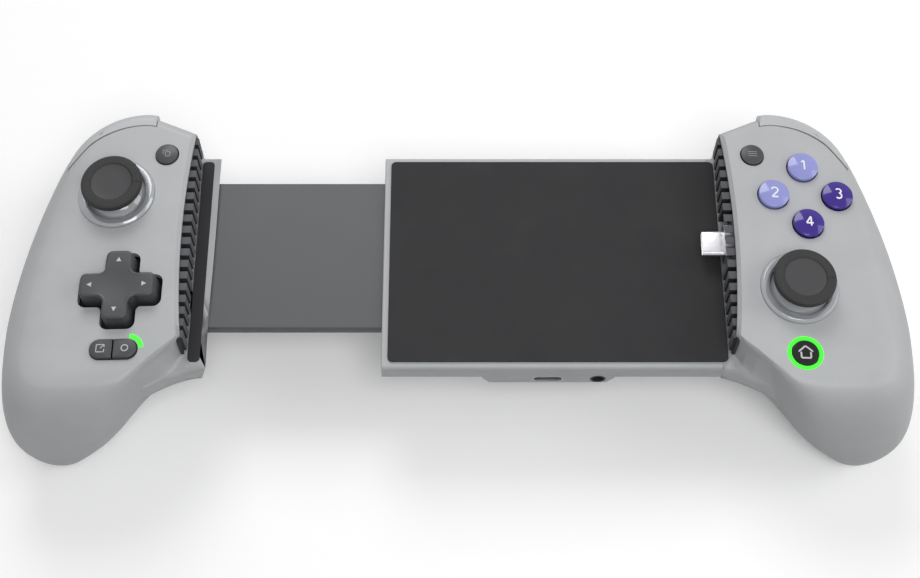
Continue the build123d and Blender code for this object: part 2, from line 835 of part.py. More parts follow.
def board_piece(places, notch):
    """Circuit board under the face, drilled for its screws."""
    board = (prism(bay_sketch(board_clearance), -overrun, overrun) & under_face(board_depth)) - under_face(board_depth + board_thickness)
    for place in places:
        board = board - on_face(place) * post(screw_radius, -2 * board_depth, 0)
    if notch:
        room = plug_block_half + 2 * plug_gap + plug_lug
        board = board - block(0, plug_cavity_back + plug_gap, -room, room, -overrun, overrun)
    return board


def board_screws(places, room=0.0):
    """Screws that hold the board against its bosses, or with some room the holes that they sit in."""
    under = board_depth + board_thickness
    screw = post(screw_radius + room, -under, screw_length - under + room)
    screw = screw + post(screw_head_radius + room, -under - screw_head_height, -under)
    return [on_face(place) * screw for place in places]


def case_screw(room=0.0):
    """Screw that closes the case, under the faceplate, or with some room the hole that it sits in."""
    top = -faceplate_thickness
    screw = post(case_screw_radius + room, -case_screw_length - room, top)
    return screw + post(case_screw_head_radius + room, top - case_screw_head_height, top)


def trigger_profile():
    """Side view of the trigger, round its pivot."""
    outer = [(across * trigger_height, rise * trigger_height) for across, rise in trigger_outer_shares]
    inner = [(across * trigger_height, rise * trigger_height) for across, rise in trigger_inner_shares]
    shoulder = (trigger_shoulder_share * trigger_height, trigger_boss)
    foot = (0, -trigger_boss)
    outline = Polyline((0, trigger_boss), shoulder, outer[0]) + Spline(*outer)
    outline = outline + Line(outer[-1], inner[0]) + Spline(*inner, foot) + Line(foot, (0, trigger_boss))
    return make_face(outline) + Circle(trigger_boss)


def trigger_piece():
    """Analogue trigger, bored for its pin."""
    plane = Plane(origin=(trigger_inner, trigger_pivot_y, -trigger_pivot_depth), x_dir=(0, 1, 0), z_dir=(1, 0, 0))
    body = extrude(plane * trigger_profile(), trigger_width, dir=(1, 0, 0))
    rims = [edge for edge in body.edges().filter_by(GeomType.BSPLINE)
            if edge.center().Y > trigger_pivot_y + trigger_height / 2]
    body = fillet(rims, trigger_round)
    return body - bar_x(trigger_pin_radius + fit_gap, 0, outer_edge, trigger_pivot_y, -trigger_pivot_depth)


def plug_block():
    """Hinged block with the hollow plug that the phone sits on."""
    half = plug_block_height / 2
    body = block(plug_block_front, plug_block_back, -plug_block_half, plug_block_half,
                 -plug_depth - half, -plug_depth + half)
    body = fillet(body.edges().filter_by(Axis.X), plug_height / 3)
    plane = Plane(origin=(plug_block_front, 0, -plug_depth), x_dir=(0, 1, 0), z_dir=(-1, 0, 0))
    outer = extrude(plane * SlotOverall(plug_width, plug_height), plug_length, dir=(-1, 0, 0))
    inner = SlotOverall(plug_width - 2 * plug_wall, plug_height - 2 * plug_wall)
    body = body + (outer - extrude(plane * inner, plug_length, dir=(-1, 0, 0)))
    return body - bar_y(plug_pin_radius + fit_gap, -plug_block_half, plug_block_half, plug_pivot, -plug_depth)


def plug_pin():
    """Pin that the plug's block turns on, held in both bearings."""
    reach = plug_block_half + plug_gap + plug_lug
    return bar_y(plug_pin_radius, -reach, reach, plug_pivot, -plug_depth)


def face_fittings(side):
    """What the face carries on one side: pieces, holes through it and pockets under it."""
    pieces = {}
    holes = []
    pockets = []

    def add_round(name, place, radius, height, dome):
        pieces[name] = on_face(place) * round_button(radius, height, dome)
        holes.append(on_face(place) * button_hole(radius))
        pockets.append(on_face(place) * button_pocket(radius))

    stick = stick_left if side == "left" else stick_right
    pieces[side + "_stick_ring"] = on_face(stick) * stick_ring()
    pieces[side + "_stick_cap"] = on_face(stick) * stick_cap()
    pieces[side + "_stick_shaft"] = on_face(stick) * stick_shaft()
    pieces[side + "_stick_pivot"] = on_face(stick) * stick_pivot()
    pieces[side + "_stick_rocker"] = on_face(stick) * stick_rocker()
    pieces[side + "_stick_module"] = on_face(stick) * stick_module()
    holes.append(on_face(stick) * post(stick_hole, -wall - button_flange, overrun))
    if side == "left":
        membranes = [on_face(dpad_place) * dpad_membrane(), on_face(pill_place) * pill_membrane()]
        membranes.append(on_face(view_button_place)
                         * membrane_puck(small_button_radius, small_button_travel, board_depth))
        add_round("view_button", view_button_place, small_button_radius, small_button_height, small_button_dome)
        pieces["share_button"] = on_face(pill_place) * pill_half(True)
        pieces["mode_button"] = on_face(pill_place) * pill_half(False)
        pieces["mode_light"] = on_face(pill_place) * mode_light()
        pieces["dpad"] = on_face(dpad_place) * dpad()
        pieces["dpad_rocker"] = on_face(dpad_place) * dpad_rocker()
        holes.append(on_face(pill_place) * pill_hole())
        holes.append(pieces["mode_light"])
        holes.append(on_face(dpad_place) * dpad_hole())
        pockets.append(on_face(pill_place) * pill_pocket())
        pockets.append(on_face(dpad_place) * post(dpad_flange_radius + dpad_gap, -pocket_depth, -wall))
        pockets.append(on_face(dpad_place) * post(dpad_membrane_radius + pocket_gap, -board_depth, -pocket_depth))
    else:
        membranes = [on_face(home_place) * membrane_puck(home_button_radius, small_button_travel, pocket_depth),
                     on_face(menu_button_place)
                     * membrane_puck(small_button_radius, small_button_travel, board_depth)]
        add_round("menu_button", menu_button_place, small_button_radius, small_button_height, small_button_dome)
        add_round("home_button", home_place, home_button_radius, home_button_height, home_button_dome)
        pieces["home_light"] = on_face(home_place) * home_light()
        holes.append(pieces["home_light"])
        for name, place in face_button_places().items():
            add_round(name, place, face_button_radius, face_button_height, face_button_dome)
            membranes.append(on_face(place) * membrane_puck(face_button_radius, face_button_travel, board_depth))
    pieces[side + "_membranes"] = Compound(children=[solid for part in membranes for solid in part.solids()])
    return pieces, holes, pockets


def handle_body(side, form):
    """The closed case of one handle with its shelf, before any room is cut into it."""
    bevel_low = face_level(lens_centre + lens_radius) - inner_bevel
    bevel = Cone(lens_radius, lens_radius + 2 * inner_bevel, 2 * inner_bevel, align=UP)
    bulk = (form & shoulder_cut(shoulder_shares, shoulder_rounds)) - [lens(), Pos(lens_centre, 0, bevel_low) * bevel]
    start = housing_joint if side == "right" else shelf_end
    body = bulk + [shelf(start), gusset(start)]
    return body - shelf_end_cut() if side == "left" else body


def inner_rooms(side, boss_places):
    """Rooms for the electronics, the pad, the trigger and what joins the handle to the bridge."""
    seat = (pad_window(half_gap + tooth_gap, face_edge + overrun) & lens(pad_recess)) - lens()
    solids = [on_face(place) * post(boss_radius, -board_depth, -wall / 2) for place in boss_places]
    rooms = [seat, trigger_bay()]
    if side == "right":
        lugs = [plug_lug_block(direction, plug_lug_half - plug_depth) for direction in (-1, 1)]
        rooms += [plug_window() - lugs, plug_pin(), tongue()]
        solids += lugs
    else:
        rooms.append(slider_bar(0, half_gap + slider_root, slider_half))
    return rooms + [electronics_bay() - solids]


def handle_pieces(side, form):
    """All pieces of one handle, drawn on the +X side."""
    is_right = side == "right"
    boss_places = right_boss_places if is_right else left_boss_places
    pieces, holes, pockets = face_fittings(side)
    ledge = back_button_ledge_level(form)
    pieces[side + "_back_button"] = back_button(form, ledge)

    pivot_x, pivot_y = bumper_pivot()
    bumper_pin = post(bumper_pin_radius, -bumper_pin_end, -bumper_pin_top, pivot_x, pivot_y)
    trigger_pin = bar_x(trigger_pin_radius, trigger_bay_inner - trigger_pin_reach,
                        trigger_bay_outer + trigger_pin_reach, trigger_pivot_y, -trigger_pivot_depth)
    pieces[side + "_hinge_pins"] = Compound(children=[*bumper_pin.solids(), *trigger_pin.solids()])
    screws = [on_face(place) * case_screw() for place in case_screw_places] + board_screws(boss_places)
    screw_holes = [on_face(place) * case_screw(fit_gap) for place in case_screw_places]
    screw_holes += board_screws(boss_places, fit_gap)
    pieces[side + "_screws"] = Compound(children=[solid for screw in screws for solid in screw.solids()])

    region = bumper_region(bumper_gap)
    body = handle_body(side, form) - inner_rooms(side, boss_places)
    body = body - [region, swung_bumper(region), back_button_room(ledge)]
    body = body - [bumper_pin, trigger_pin] - screw_holes
    body = body - pockets - holes
    front_region = above_seam()
    plate_region = under_face(faceplate_thickness)
    front = body & front_region
    pieces[side + "_faceplate"] = front - plate_region
    pieces[side + "_front_shell"] = front & plate_region
    pieces[side + "_back_shell"] = body - front_region

    bumper = (form & shoulder_cut(bumper_line_shares, bumper_line_rounds)) & bumper_region(0.0)
    bumper_bore = post(bumper_pin_radius + fit_gap, -overrun, fit_gap - bumper_pin_top, pivot_x, pivot_y)
    pieces[side + "_bumper"] = bumper - bumper_bore
    pieces[side + "_trigger"] = trigger_piece()
    pieces[side + "_phone_pad"] = phone_pad(is_right)
    board = board_piece(boss_places, is_right)
    if is_right:
        pieces["usb_plug"] = plug_block()
        pieces["usb_plug_pin"] = plug_pin()
        pieces["right_mainboard"] = board
    else:
        pieces["left_mainboard"] = Compound(children=[*board.solids(), *(on_face(dpad_place) * dpad_box()).solids()])
    return pieces


# Bridge

def bridge_outline():
    """Whole housing of the bridge, with the bulge behind it and the tongue in the right handle."""
    plate = block(-bridge_end, housing_joint, -bridge_low_edge, bridge_high_edge, -bridge_back, -bridge_front)
    plate = fillet(plate.edges().filter_by(Axis.X), bridge_round)
    deep = bridge_back + bridge_bulge
    profile = make_face(Polyline((bulge_start, -bridge_seam), (bulge_start, -bridge_back),
                                 (bulge_start + bulge_ramp, -deep), (bulge_end - bulge_ramp, -deep),
                                 (bulge_end, -bridge_back), (bulge_end, -bridge_seam), (bulge_start, -bridge_seam)))
    bulge = extrude(Plane.XZ * profile, bulge_breadth, dir=(0, 1, 0))
    bulge = Pos(0, -bridge_low_edge, 0) * bulge
    rear = bulge.edges().filter_by(Axis.X).sort_by(Axis.Z)[:2]
    bulge = chamfer(rear, bridge_round)
    return plate + bulge


def slider_cavity():
    """Room for the slider, with shoulders where its stops meet them when it is drawn out."""
    shoulder = slider_tip - slider_stop - opening_travel - fit_gap
    narrow = slider_bar(-bridge_end - overrun, shoulder + fit_gap, slider_half, slider_gap)
    wide = slider_bar(shoulder, slider_tip + closing_travel + slider_gap, slider_half + slider_stop, slider_gap)
    return narrow + wide


def slider_piece():
    """Slider plate with its stops, fixed in the left handle."""
    plate = slider_bar(-half_gap - slider_root, slider_tip, slider_half)
    return plate + slider_bar(slider_tip - slider_stop, slider_tip, slider_half + slider_stop)


def usb_socket(solid=False):
    """Metal USB-C socket in the lower edge, with its tongue."""
    plane = Plane(origin=(usb_socket_x, -bridge_low_edge, -socket_depth), x_dir=(1, 0, 0), z_dir=(0, -1, 0))
    outer = extrude(plane * SlotOverall(usb_socket_width, usb_socket_height), -usb_socket_length)
    if solid:
        return outer
    inner = SlotOverall(usb_socket_width - 2 * usb_socket_wall, usb_socket_height - 2 * usb_socket_wall)
    inner = extrude(plane * inner, -usb_socket_length + usb_socket_wall)
    start = -bridge_low_edge + usb_tongue_inset
    blade = block(usb_socket_x - usb_tongue_width / 2, usb_socket_x + usb_tongue_width / 2,
                  start, usb_socket_length - bridge_low_edge - usb_socket_wall,
                  -socket_depth - usb_tongue_height / 2, -socket_depth + usb_tongue_height / 2)
    return outer - inner + blade


def audio_jack(solid=False):
    """Barrel of the audio socket."""
    barrel = bar_y(jack_body_radius, -bridge_low_edge, jack_length - bridge_low_edge, jack_x, -socket_depth)
    if solid:
        return barrel
    return barrel - bar_y(jack_radius, -bridge_low_edge, jack_bore_length - bridge_low_edge, jack_x, -socket_depth)


def rubber_sheet(x0, x1):
    """Rubber inset on the bridge or the shelf, inside its rim."""
    sheet = block(x0, x1, rubber_rim - bridge_low_edge, bridge_high_edge - rubber_rim,
                  -bridge_front, rubber_thickness - bridge_front)
    return fillet(sheet.edges().filter_by(Axis.Z), min(rubber_round, (x1 - x0) / 3))


def bridge_pieces():
    """All pieces of the bridge, in their real places."""
    housing = bridge_outline() - slider_cavity() - usb_socket(True) - audio_jack(True)
    front = block(-overrun, 2 * overrun, -overrun, overrun, -bridge_seam, 0)
    wall_x = half_gap + tooth_gap
    shelf_rubber = rubber_sheet(shelf_end + rubber_rim, wall_x)
    return {
        "bridge_front_cover": housing & front,
        "bridge_back_cover": (housing - front) + tongue(),
        "bridge_slider": slider_piece(),
        "bridge_pad": rubber_sheet(rubber_rim - bridge_end, wall_x),
        "shelf_pad": mirror(shelf_rubber, about=Plane.YZ),
        "usb_socket": usb_socket(),
        "audio_jack": audio_jack(),
    }


def all_pieces():
    """Every piece of the controller by name, over the datum."""
    form = handle_form()
    pieces = handle_pieces("right", form)
    for name, shape in handle_pieces("left", form).items():
        pieces[name] = mirror(shape, about=Plane.YZ)
    pieces.update(bridge_pieces())
    return pieces


os.makedirs("parts", exist_ok=True)
controller = all_pieces()
boxes = [shape.bounding_box() for shape in controller.values()]
low_y = min(box.min.Y for box in boxes)
high_y = max(box.max.Y for box in boxes)
low_z = min(box.min.Z for box in boxes)
print("datum over the origin:", round(-(low_y + high_y) / 2, 4), round(-low_z, 4))
for piece_name, piece_shape in controller.items():
    placed = Pos(0, -(low_y + high_y) / 2, -low_z) * piece_shape
    export_step(placed, os.path.join("parts", piece_name + ".step"))
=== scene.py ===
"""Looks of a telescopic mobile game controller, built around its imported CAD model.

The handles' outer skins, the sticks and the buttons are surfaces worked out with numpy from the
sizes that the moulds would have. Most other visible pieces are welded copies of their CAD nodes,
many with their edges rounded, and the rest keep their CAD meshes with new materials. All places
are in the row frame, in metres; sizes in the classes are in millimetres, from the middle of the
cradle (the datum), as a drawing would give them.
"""

from __future__ import annotations

import json
import logging
import math
from dataclasses import dataclass
from enum import Enum

import bmesh
import bpy
import numpy as np
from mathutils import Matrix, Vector
from mathutils.bvhtree import BVHTree

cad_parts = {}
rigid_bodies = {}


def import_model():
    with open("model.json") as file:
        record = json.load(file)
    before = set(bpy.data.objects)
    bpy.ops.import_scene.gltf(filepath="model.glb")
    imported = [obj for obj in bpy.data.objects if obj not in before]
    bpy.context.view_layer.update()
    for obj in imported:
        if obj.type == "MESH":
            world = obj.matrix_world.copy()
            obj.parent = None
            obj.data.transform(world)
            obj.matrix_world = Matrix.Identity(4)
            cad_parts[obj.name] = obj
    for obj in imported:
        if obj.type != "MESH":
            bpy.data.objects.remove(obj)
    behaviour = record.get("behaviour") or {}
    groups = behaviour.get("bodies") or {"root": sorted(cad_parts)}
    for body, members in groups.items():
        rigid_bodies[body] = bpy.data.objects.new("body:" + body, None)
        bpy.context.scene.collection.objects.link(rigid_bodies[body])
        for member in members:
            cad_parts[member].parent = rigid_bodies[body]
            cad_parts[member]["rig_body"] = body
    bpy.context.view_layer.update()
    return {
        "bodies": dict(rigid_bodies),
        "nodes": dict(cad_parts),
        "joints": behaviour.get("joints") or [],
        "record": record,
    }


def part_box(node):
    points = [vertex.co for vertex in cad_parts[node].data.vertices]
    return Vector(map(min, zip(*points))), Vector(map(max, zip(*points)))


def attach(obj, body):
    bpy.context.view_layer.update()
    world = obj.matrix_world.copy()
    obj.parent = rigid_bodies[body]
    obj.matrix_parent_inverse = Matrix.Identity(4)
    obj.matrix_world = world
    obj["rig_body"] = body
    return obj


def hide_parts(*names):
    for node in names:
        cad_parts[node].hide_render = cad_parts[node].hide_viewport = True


LOG = logging.getLogger("controller")
MM = 0.001
SIDES = ("left", "right")


# Finishes


class Surface(Enum):
    """How a finish's surface was made, which chooses the pattern that its material gets."""

    MOULDED = "moulded"
    GLOSSY = "glossy"
    RUBBER = "rubber"
    KNURLED = "knurled"
    BRUSHED = "brushed"
    LIT = "lit"
    BOARD = "board"


@dataclass(frozen=True)
class Finish:
    """One real finish: what it is made of, its colour and how its surface was made."""

    name: str
    hex_colour: str
    surface: Surface
    roughness: float
    metallic: float = 0.0
    ior: float = 1.5
    coat: float = 0.0
    coat_roughness: float = 0.05
    grain_mm: float = 0.5
    grain_depth_mm: float = 0.01
    mottle: float = 0.04
    glow: float = 0.0


# Injection-moulded ABS with a fine spark-eroded grain: soft, even highlights with no mirror image.
# The real grain is about 0.05 mm and is drawn ten times coarser, so that it shows at all.
SHELL_ABS = Finish("spark_eroded_abs_light_grey", "#B3B5B7", Surface.MOULDED, 0.50, ior=1.53)
# The same ABS from a finer mould face, so it is a little smoother and lighter.
FACEPLATE_ABS = Finish("satin_abs_light_grey", "#B5B7B9", Surface.MOULDED, 0.44, ior=1.53,
                       grain_depth_mm=0.006)
# Satin ABS of the shoulder controls, polished by fingers. Its grey is the shell's, painted lighter as light
# falling on the bumpers' tops.
SHOULDER_ABS_PAINTED_LIGHT = Finish("satin_abs_grey_painted_light", "#BCBEC0", Surface.MOULDED, 0.38, ior=1.53, grain_depth_mm=0.005)
# Charcoal ABS of the small buttons and the D-pad.
CHARCOAL_ABS = Finish("satin_abs_charcoal", "#37383A", Surface.MOULDED, 0.40, ior=1.53, grain_depth_mm=0.006,
                      mottle=0.08)
# The home button's gloss face, almost black.
HOME_ABS = Finish("gloss_abs_black", "#121214", Surface.MOULDED, 0.30, ior=1.35, grain_depth_mm=0.003)
# Slide of glass-filled nylon: dark, dry and slightly cloudy.
SLIDE_NYLON = Finish("glass_filled_nylon_dark_grey", "#4B4D50", Surface.MOULDED, 0.48, ior=1.53, grain_mm=0.8)
# Silicone rubber of the cradle pads: matte black with dust-fine grain.
PAD_RUBBER = Finish("matte_silicone_dark_grey", "#5A5B5F", Surface.RUBBER, 0.70, ior=1.43, grain_mm=0.4,
                    grain_depth_mm=0.012, mottle=0.08)
# The black silicone also serves as painted shade in the gaps of the ribbed phone pads.
CRADLE_RUBBER_AND_GAP_SHADE = Finish("matte_silicone_black_and_gap_shade", "#252527", Surface.RUBBER, 0.78, ior=1.43, grain_mm=0.4,
                       grain_depth_mm=0.015, mottle=0.10)
# Thermoplastic rubber of the stick caps, smooth in the dish and knurled on the rim.
STICK_RUBBER = Finish("stick_rubber_charcoal", "#38383A", Surface.RUBBER, 0.62, ior=1.48, grain_mm=0.3,
                      grain_depth_mm=0.01, mottle=0.08)
STICK_GRIP = Finish("knurled_stick_rubber_black", "#1F1F21", Surface.KNURLED, 0.66, ior=1.48, grain_mm=0.9,
                    grain_depth_mm=0.10, mottle=0.06)
# Polished polycarbonate dome under each stick cap: grey plastic, painted lighter than its own grey as light
# in the well that the cap shades.
DOME_PC_PAINTED_LIGHT = Finish("polished_polycarbonate_grey_painted_light", "#9C9FA3", Surface.GLOSSY, 0.12, ior=1.58, coat=0.8)
# Clear polycarbonate collar over a bright foil, which hides what is under it and mirrors the lamps.
COLLAR_PC = Finish("foiled_clear_polycarbonate", "#A3A6AA", Surface.GLOSSY, 0.14, metallic=0.15, ior=1.58,
                   coat=1.0, coat_roughness=0.03, mottle=0.02)
# Lacquered ABS of the face buttons: coloured under a clear gloss coat, which carries the reflections.
DEEP_PURPLE = Finish("lacquered_abs_deep_purple", "#30058A", Surface.GLOSSY, 0.30, ior=1.2, coat=0.85,
                     coat_roughness=0.02, mottle=0.03)
PALE_PURPLE = Finish("lacquered_abs_pale_purple", "#9599D9", Surface.GLOSSY, 0.30, ior=1.2, coat=0.85,
                     coat_roughness=0.02, mottle=0.02)
# Print on the buttons: thin, slightly raised ink.
WHITE_INK = Finish("pad_print_white", "#F2F2F4", Surface.MOULDED, 0.45, mottle=0.02)
GREY_INK = Finish("pad_print_grey", "#8E9093", Surface.MOULDED, 0.5, mottle=0.02)
PALE_INK = Finish("pad_print_pale_grey", "#C6C7CA", Surface.MOULDED, 0.5, mottle=0.02)
# Light guide of milky acrylic with a green lamp under it.
LIGHT_GUIDE = Finish("lit_acrylic_green", "#3BE62E", Surface.LIT, 0.35, ior=1.49, glow=1.0)
# Inner pieces, seen only through gaps.
INNER_POM = Finish("moulded_acetal_white", "#D8D8D3", Surface.MOULDED, 0.45)
MEMBRANE_SILICONE = Finish("silicone_membrane_grey", "#8C8C8E", Surface.RUBBER, 0.6, ior=1.43)
BOARD_FR4 = Finish("solder_masked_board_green", "#12402A", Surface.BOARD, 0.35)
PRESSED_STEEL = Finish("pressed_steel", "#B9B9B6", Surface.BRUSHED, 0.35, metallic=1.0)
SCREW_STEEL = Finish("blackened_steel", "#55565A", Surface.BRUSHED, 0.40, metallic=1.0)
GROUND_STEEL = Finish("ground_steel", "#C4C4C6", Surface.BRUSHED, 0.25, metallic=1.0)
DRAWN_STEEL = Finish("drawn_stainless_steel", "#BEBEC1", Surface.BRUSHED, 0.28, metallic=1.0)
SOCKET_PBT = Finish("moulded_pbt_black", "#202022", Surface.MOULDED, 0.5)

NODE_FINISHES = {
    "front_shell": SHELL_ABS, "back_shell": SHELL_ABS, "faceplate": FACEPLATE_ABS, "bumper": SHOULDER_ABS_PAINTED_LIGHT,
    "trigger": SHOULDER_ABS_PAINTED_LIGHT, "back_button": SHOULDER_ABS_PAINTED_LIGHT, "phone_pad": PAD_RUBBER,
    "mainboard": BOARD_FR4, "membranes": MEMBRANE_SILICONE, "screws": SCREW_STEEL,
    "hinge_pins": GROUND_STEEL, "stick_cap": STICK_RUBBER, "stick_shaft": DOME_PC_PAINTED_LIGHT,
    "stick_ring": COLLAR_PC, "stick_module": PRESSED_STEEL, "stick_rocker": INNER_POM,
    "stick_pivot": INNER_POM, "audio_jack": SOCKET_PBT, "usb_socket": DRAWN_STEEL, "usb_plug": DRAWN_STEEL,
    "usb_plug_pin": GROUND_STEEL, "bridge_front_cover": SHELL_ABS, "bridge_back_cover": SHELL_ABS,
    "bridge_slider": SLIDE_NYLON, "bridge_pad": CRADLE_RUBBER_AND_GAP_SHADE, "shelf_pad": CRADLE_RUBBER_AND_GAP_SHADE,
    "dpad": CHARCOAL_ABS, "dpad_rocker": INNER_POM, "face_button_bottom": DEEP_PURPLE,
    "face_button_right": DEEP_PURPLE, "face_button_left": PALE_PURPLE, "face_button_top": PALE_PURPLE,
    "view_button": CHARCOAL_ABS, "menu_button": CHARCOAL_ABS, "share_button": CHARCOAL_ABS,
    "mode_button": CHARCOAL_ABS, "home_button": CHARCOAL_ABS, "home_light": LIGHT_GUIDE,
    "mode_light": LIGHT_GUIDE,
}


def linear_colour(hex_colour: str) -> tuple[float, float, float, float]:
    """Turn an sRGB hex colour into linear light.

    Args:
        hex_colour: Colour such as "#B3B5B7".

    Returns:
        Linear red, green and blue, and an alpha of 1.
    """
    parts = np.array([int(hex_colour[i:i + 2], 16) for i in (1, 3, 5)]) / 255
    linear = np.where(parts <= 0.04045, parts / 12.92, ((parts + 0.055) / 1.055) ** 2.4)
    return (*linear.tolist(), 1.0)


def add_node(tree: bpy.types.NodeTree, kind: str, settings: dict | None = None,
             inputs: dict | None = None) -> bpy.types.Node:
    """Add one shader node with its settings and its links.

    Args:
        tree: Node tree that gets the node.
        kind: Blender's name of the node type.
        settings: Properties of the node and their values.
        inputs: Sockets by name or number, each with a value or with the output that feeds it.

    Returns:
        The new node.
    """
    node = tree.nodes.new(kind)
    for key, value in (settings or {}).items():
        setattr(node, key, value)
    for key, value in (inputs or {}).items():
        if isinstance(value, bpy.types.NodeSocket):
            tree.links.new(value, node.inputs[key])
        else:
            node.inputs[key].default_value = value
    return node


class MaterialShop:
    """Makes each finish's material once and hands it out."""

    drift_mm = 14.0
    cloud_range = (0.3, 0.7)
    roughness_drift = 0.07
    knurls_per_turn = 20

    def __init__(self) -> None:
        """Start with an empty shelf."""
        self.shelf: dict[str, bpy.types.Material] = {}

    def material(self, finish: Finish) -> bpy.types.Material:
        """Give the finish's material, made on first use."""
        if finish.name not in self.shelf:
            self.shelf[finish.name] = self.make(finish)
        return self.shelf[finish.name]

    def make(self, finish: Finish) -> bpy.types.Material:
        """Build the node tree of one finish.

        Args:
            finish: The finish to build.

        Returns:
            The new material.
        """
        material = bpy.data.materials.new(finish.name)
        material.use_nodes = True
        tree = material.node_tree
        tree.nodes.clear()
        shader = add_node(tree, "ShaderNodeBsdfPrincipled", inputs={
            "Base Color": linear_colour(finish.hex_colour), "Roughness": finish.roughness,
            "Metallic": finish.metallic, "IOR": finish.ior, "Coat Weight": finish.coat,
            "Coat Roughness": finish.coat_roughness})
        add_node(tree, "ShaderNodeOutputMaterial", inputs={"Surface": shader.outputs["BSDF"]})
        if finish.surface is Surface.LIT:
            shader.inputs["Emission Color"].default_value = linear_colour(finish.hex_colour)
            shader.inputs["Emission Strength"].default_value = finish.glow
        place = add_node(tree, "ShaderNodeTexCoord")
        self.mottle(tree, shader, place, finish)
        self.relief(tree, shader, place, finish)
        return material

    def mottle(self, tree: bpy.types.NodeTree, shader: bpy.types.Node, place: bpy.types.Node,
               finish: Finish) -> None:
        """Vary colour and roughness a little over the surface, as flow and handling leave them.

        Args:
            tree: The material's tree.
            shader: Its main shader.
            place: Its coordinates.
            finish: The finish that is built.
        """
        colour = np.array(linear_colour(finish.hex_colour))
        cloud = add_node(tree, "ShaderNodeTexNoise", inputs={
            "Vector": place.outputs["Object"], "Scale": 1 / (self.drift_mm * MM), "Detail": 5.0,
            "Roughness": 0.6})
        ramp = add_node(tree, "ShaderNodeValToRGB", inputs={"Fac": cloud.outputs["Fac"]})
        shares = (1 - finish.mottle, 1 + finish.mottle)
        for stop, place_on_ramp, share in zip(ramp.color_ramp.elements, self.cloud_range, shares):
            stop.color = (*np.clip(colour[:3] * share, 0, 1).tolist(), 1.0)
            stop.position = place_on_ramp
        tree.links.new(ramp.outputs["Color"], shader.inputs["Base Color"])
        sheen = add_node(tree, "ShaderNodeMapRange", inputs={
            "Value": cloud.outputs["Fac"], "From Min": self.cloud_range[0], "From Max": self.cloud_range[1],
            "To Min": finish.roughness * (1 - self.roughness_drift),
            "To Max": min(1.0, finish.roughness * (1 + self.roughness_drift))})
        tree.links.new(sheen.outputs["Result"], shader.inputs["Roughness"])

    def relief(self, tree: bpy.types.NodeTree, shader: bpy.types.Node, place: bpy.types.Node,
               finish: Finish) -> None:
        """Add the fine relief that the surface's making leaves.

        Args:
            tree: The material's tree.
            shader: Its main shader.
            place: Its coordinates.
            finish: The finish that is built.
        """
        if finish.surface in (Surface.LIT, Surface.GLOSSY):
            return
        scale = 1 / (finish.grain_mm * MM)
        if finish.surface is Surface.KNURLED:
            wave_share = 2 * math.pi / self.knurls_per_turn
            waves = [add_node(tree, "ShaderNodeTexWave", {"wave_profile": "SIN"}, {
                "Vector": add_node(tree, "ShaderNodeMapping", inputs={
                    "Vector": place.outputs["UV"], "Rotation": (0, 0, turn)}).outputs["Vector"],
                "Scale": wave_share / finish.grain_mm}) for turn in (math.pi / 4, -math.pi / 4)]
            height = add_node(tree, "ShaderNodeMath", {"operation": "MULTIPLY"},
                              {0: waves[0].outputs["Fac"], 1: waves[1].outputs["Fac"]}).outputs[0]
        else:
            vector = place.outputs["Object"]
            if finish.surface is Surface.BRUSHED:
                vector = add_node(tree, "ShaderNodeMapping", inputs={
                    "Vector": vector, "Scale": (0.06, 1.0, 1.0)}).outputs["Vector"]
            height = add_node(tree, "ShaderNodeTexNoise", inputs={
                "Vector": vector, "Scale": scale, "Detail": 3.0, "Roughness": 0.55}).outputs["Fac"]
        bump = add_node(tree, "ShaderNodeBump", inputs={
            "Height": height, "Distance": finish.grain_depth_mm * MM, "Strength": 1.0})
        tree.links.new(bump.outputs["Normal"], shader.inputs["Normal"])


# Places and meshes


@dataclass(frozen=True)
class Datum:
    """Middle of the cradle in the row frame, a set height over the rubber sheet on the bridge."""

    y: float
    z: float

    @classmethod
    def from_cradle(cls) -> Datum:
        """Work the datum out from the sheet's lower edge and its top."""
        sheet_low_edge_mm = 36.9
        sheet_level_mm = 8.4
        low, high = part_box("bridge_pad")
        return cls(low.y / MM + sheet_low_edge_mm, high.z / MM + sheet_level_mm)

    def to_row(self, points: np.ndarray) -> np.ndarray:
        """Move points from the datum to the row frame.

        Args:
            points: Points in millimetres from the datum, in the last axis.

        Returns:
            The same points in metres in the row frame.
        """
        return (points + np.array([0.0, self.y, self.z])) * MM


@dataclass(frozen=True)
class FaceSpot:
    """A place on a handle's tilted face, with its normal out of the face."""

    side: str
    across: float
    along: float
    tilt_deg: float = 3.0
    edge: float = 81.0
    edge_level: float = 5.0

    @property
    def sign(self) -> float:
        """+1 on the right handle and -1 on the left one."""
        return 1.0 if self.side == "right" else -1.0

    def to_datum(self, points: np.ndarray) -> np.ndarray:
        """Move points from the spot's own axes to the datum.

        The spot's X axis runs down the face's slope to the right, its Y axis is the datum's and
        its Z axis is the face's normal, so a point is the origin plus its share along each.

        Args:
            points: Points in millimetres in the spot's axes.

        Returns:
            The points from the datum, in millimetres.
        """
        tilt = math.radians(self.tilt_deg)
        level = self.edge_level - math.tan(tilt) * (self.across - self.edge)
        origin = np.array([self.sign * self.across, self.along, level])
        axes = np.array([
            [math.cos(tilt), 0.0, -self.sign * math.sin(tilt)],
            [0.0, 1.0, 0.0],
            [self.sign * math.sin(tilt), 0.0, math.cos(tilt)],
        ])
        return origin + points @ axes


def read(items: bpy.types.bpy_prop_collection, name: str, width: int = 1,
         kind: type = np.float32) -> np.ndarray:
    """Read one property of all of a mesh's items.

    Args:
        items: Vertices, corners or faces of a mesh.
        name: The property.
        width: Numbers in each value.
        kind: Their type.

    Returns:
        One row for each item, or one number for each if the width is 1.
    """
    values = np.empty(len(items) * width, kind)
    items.foreach_get(name, values)
    return values.reshape(-1, width).astype(float) if width > 1 else values


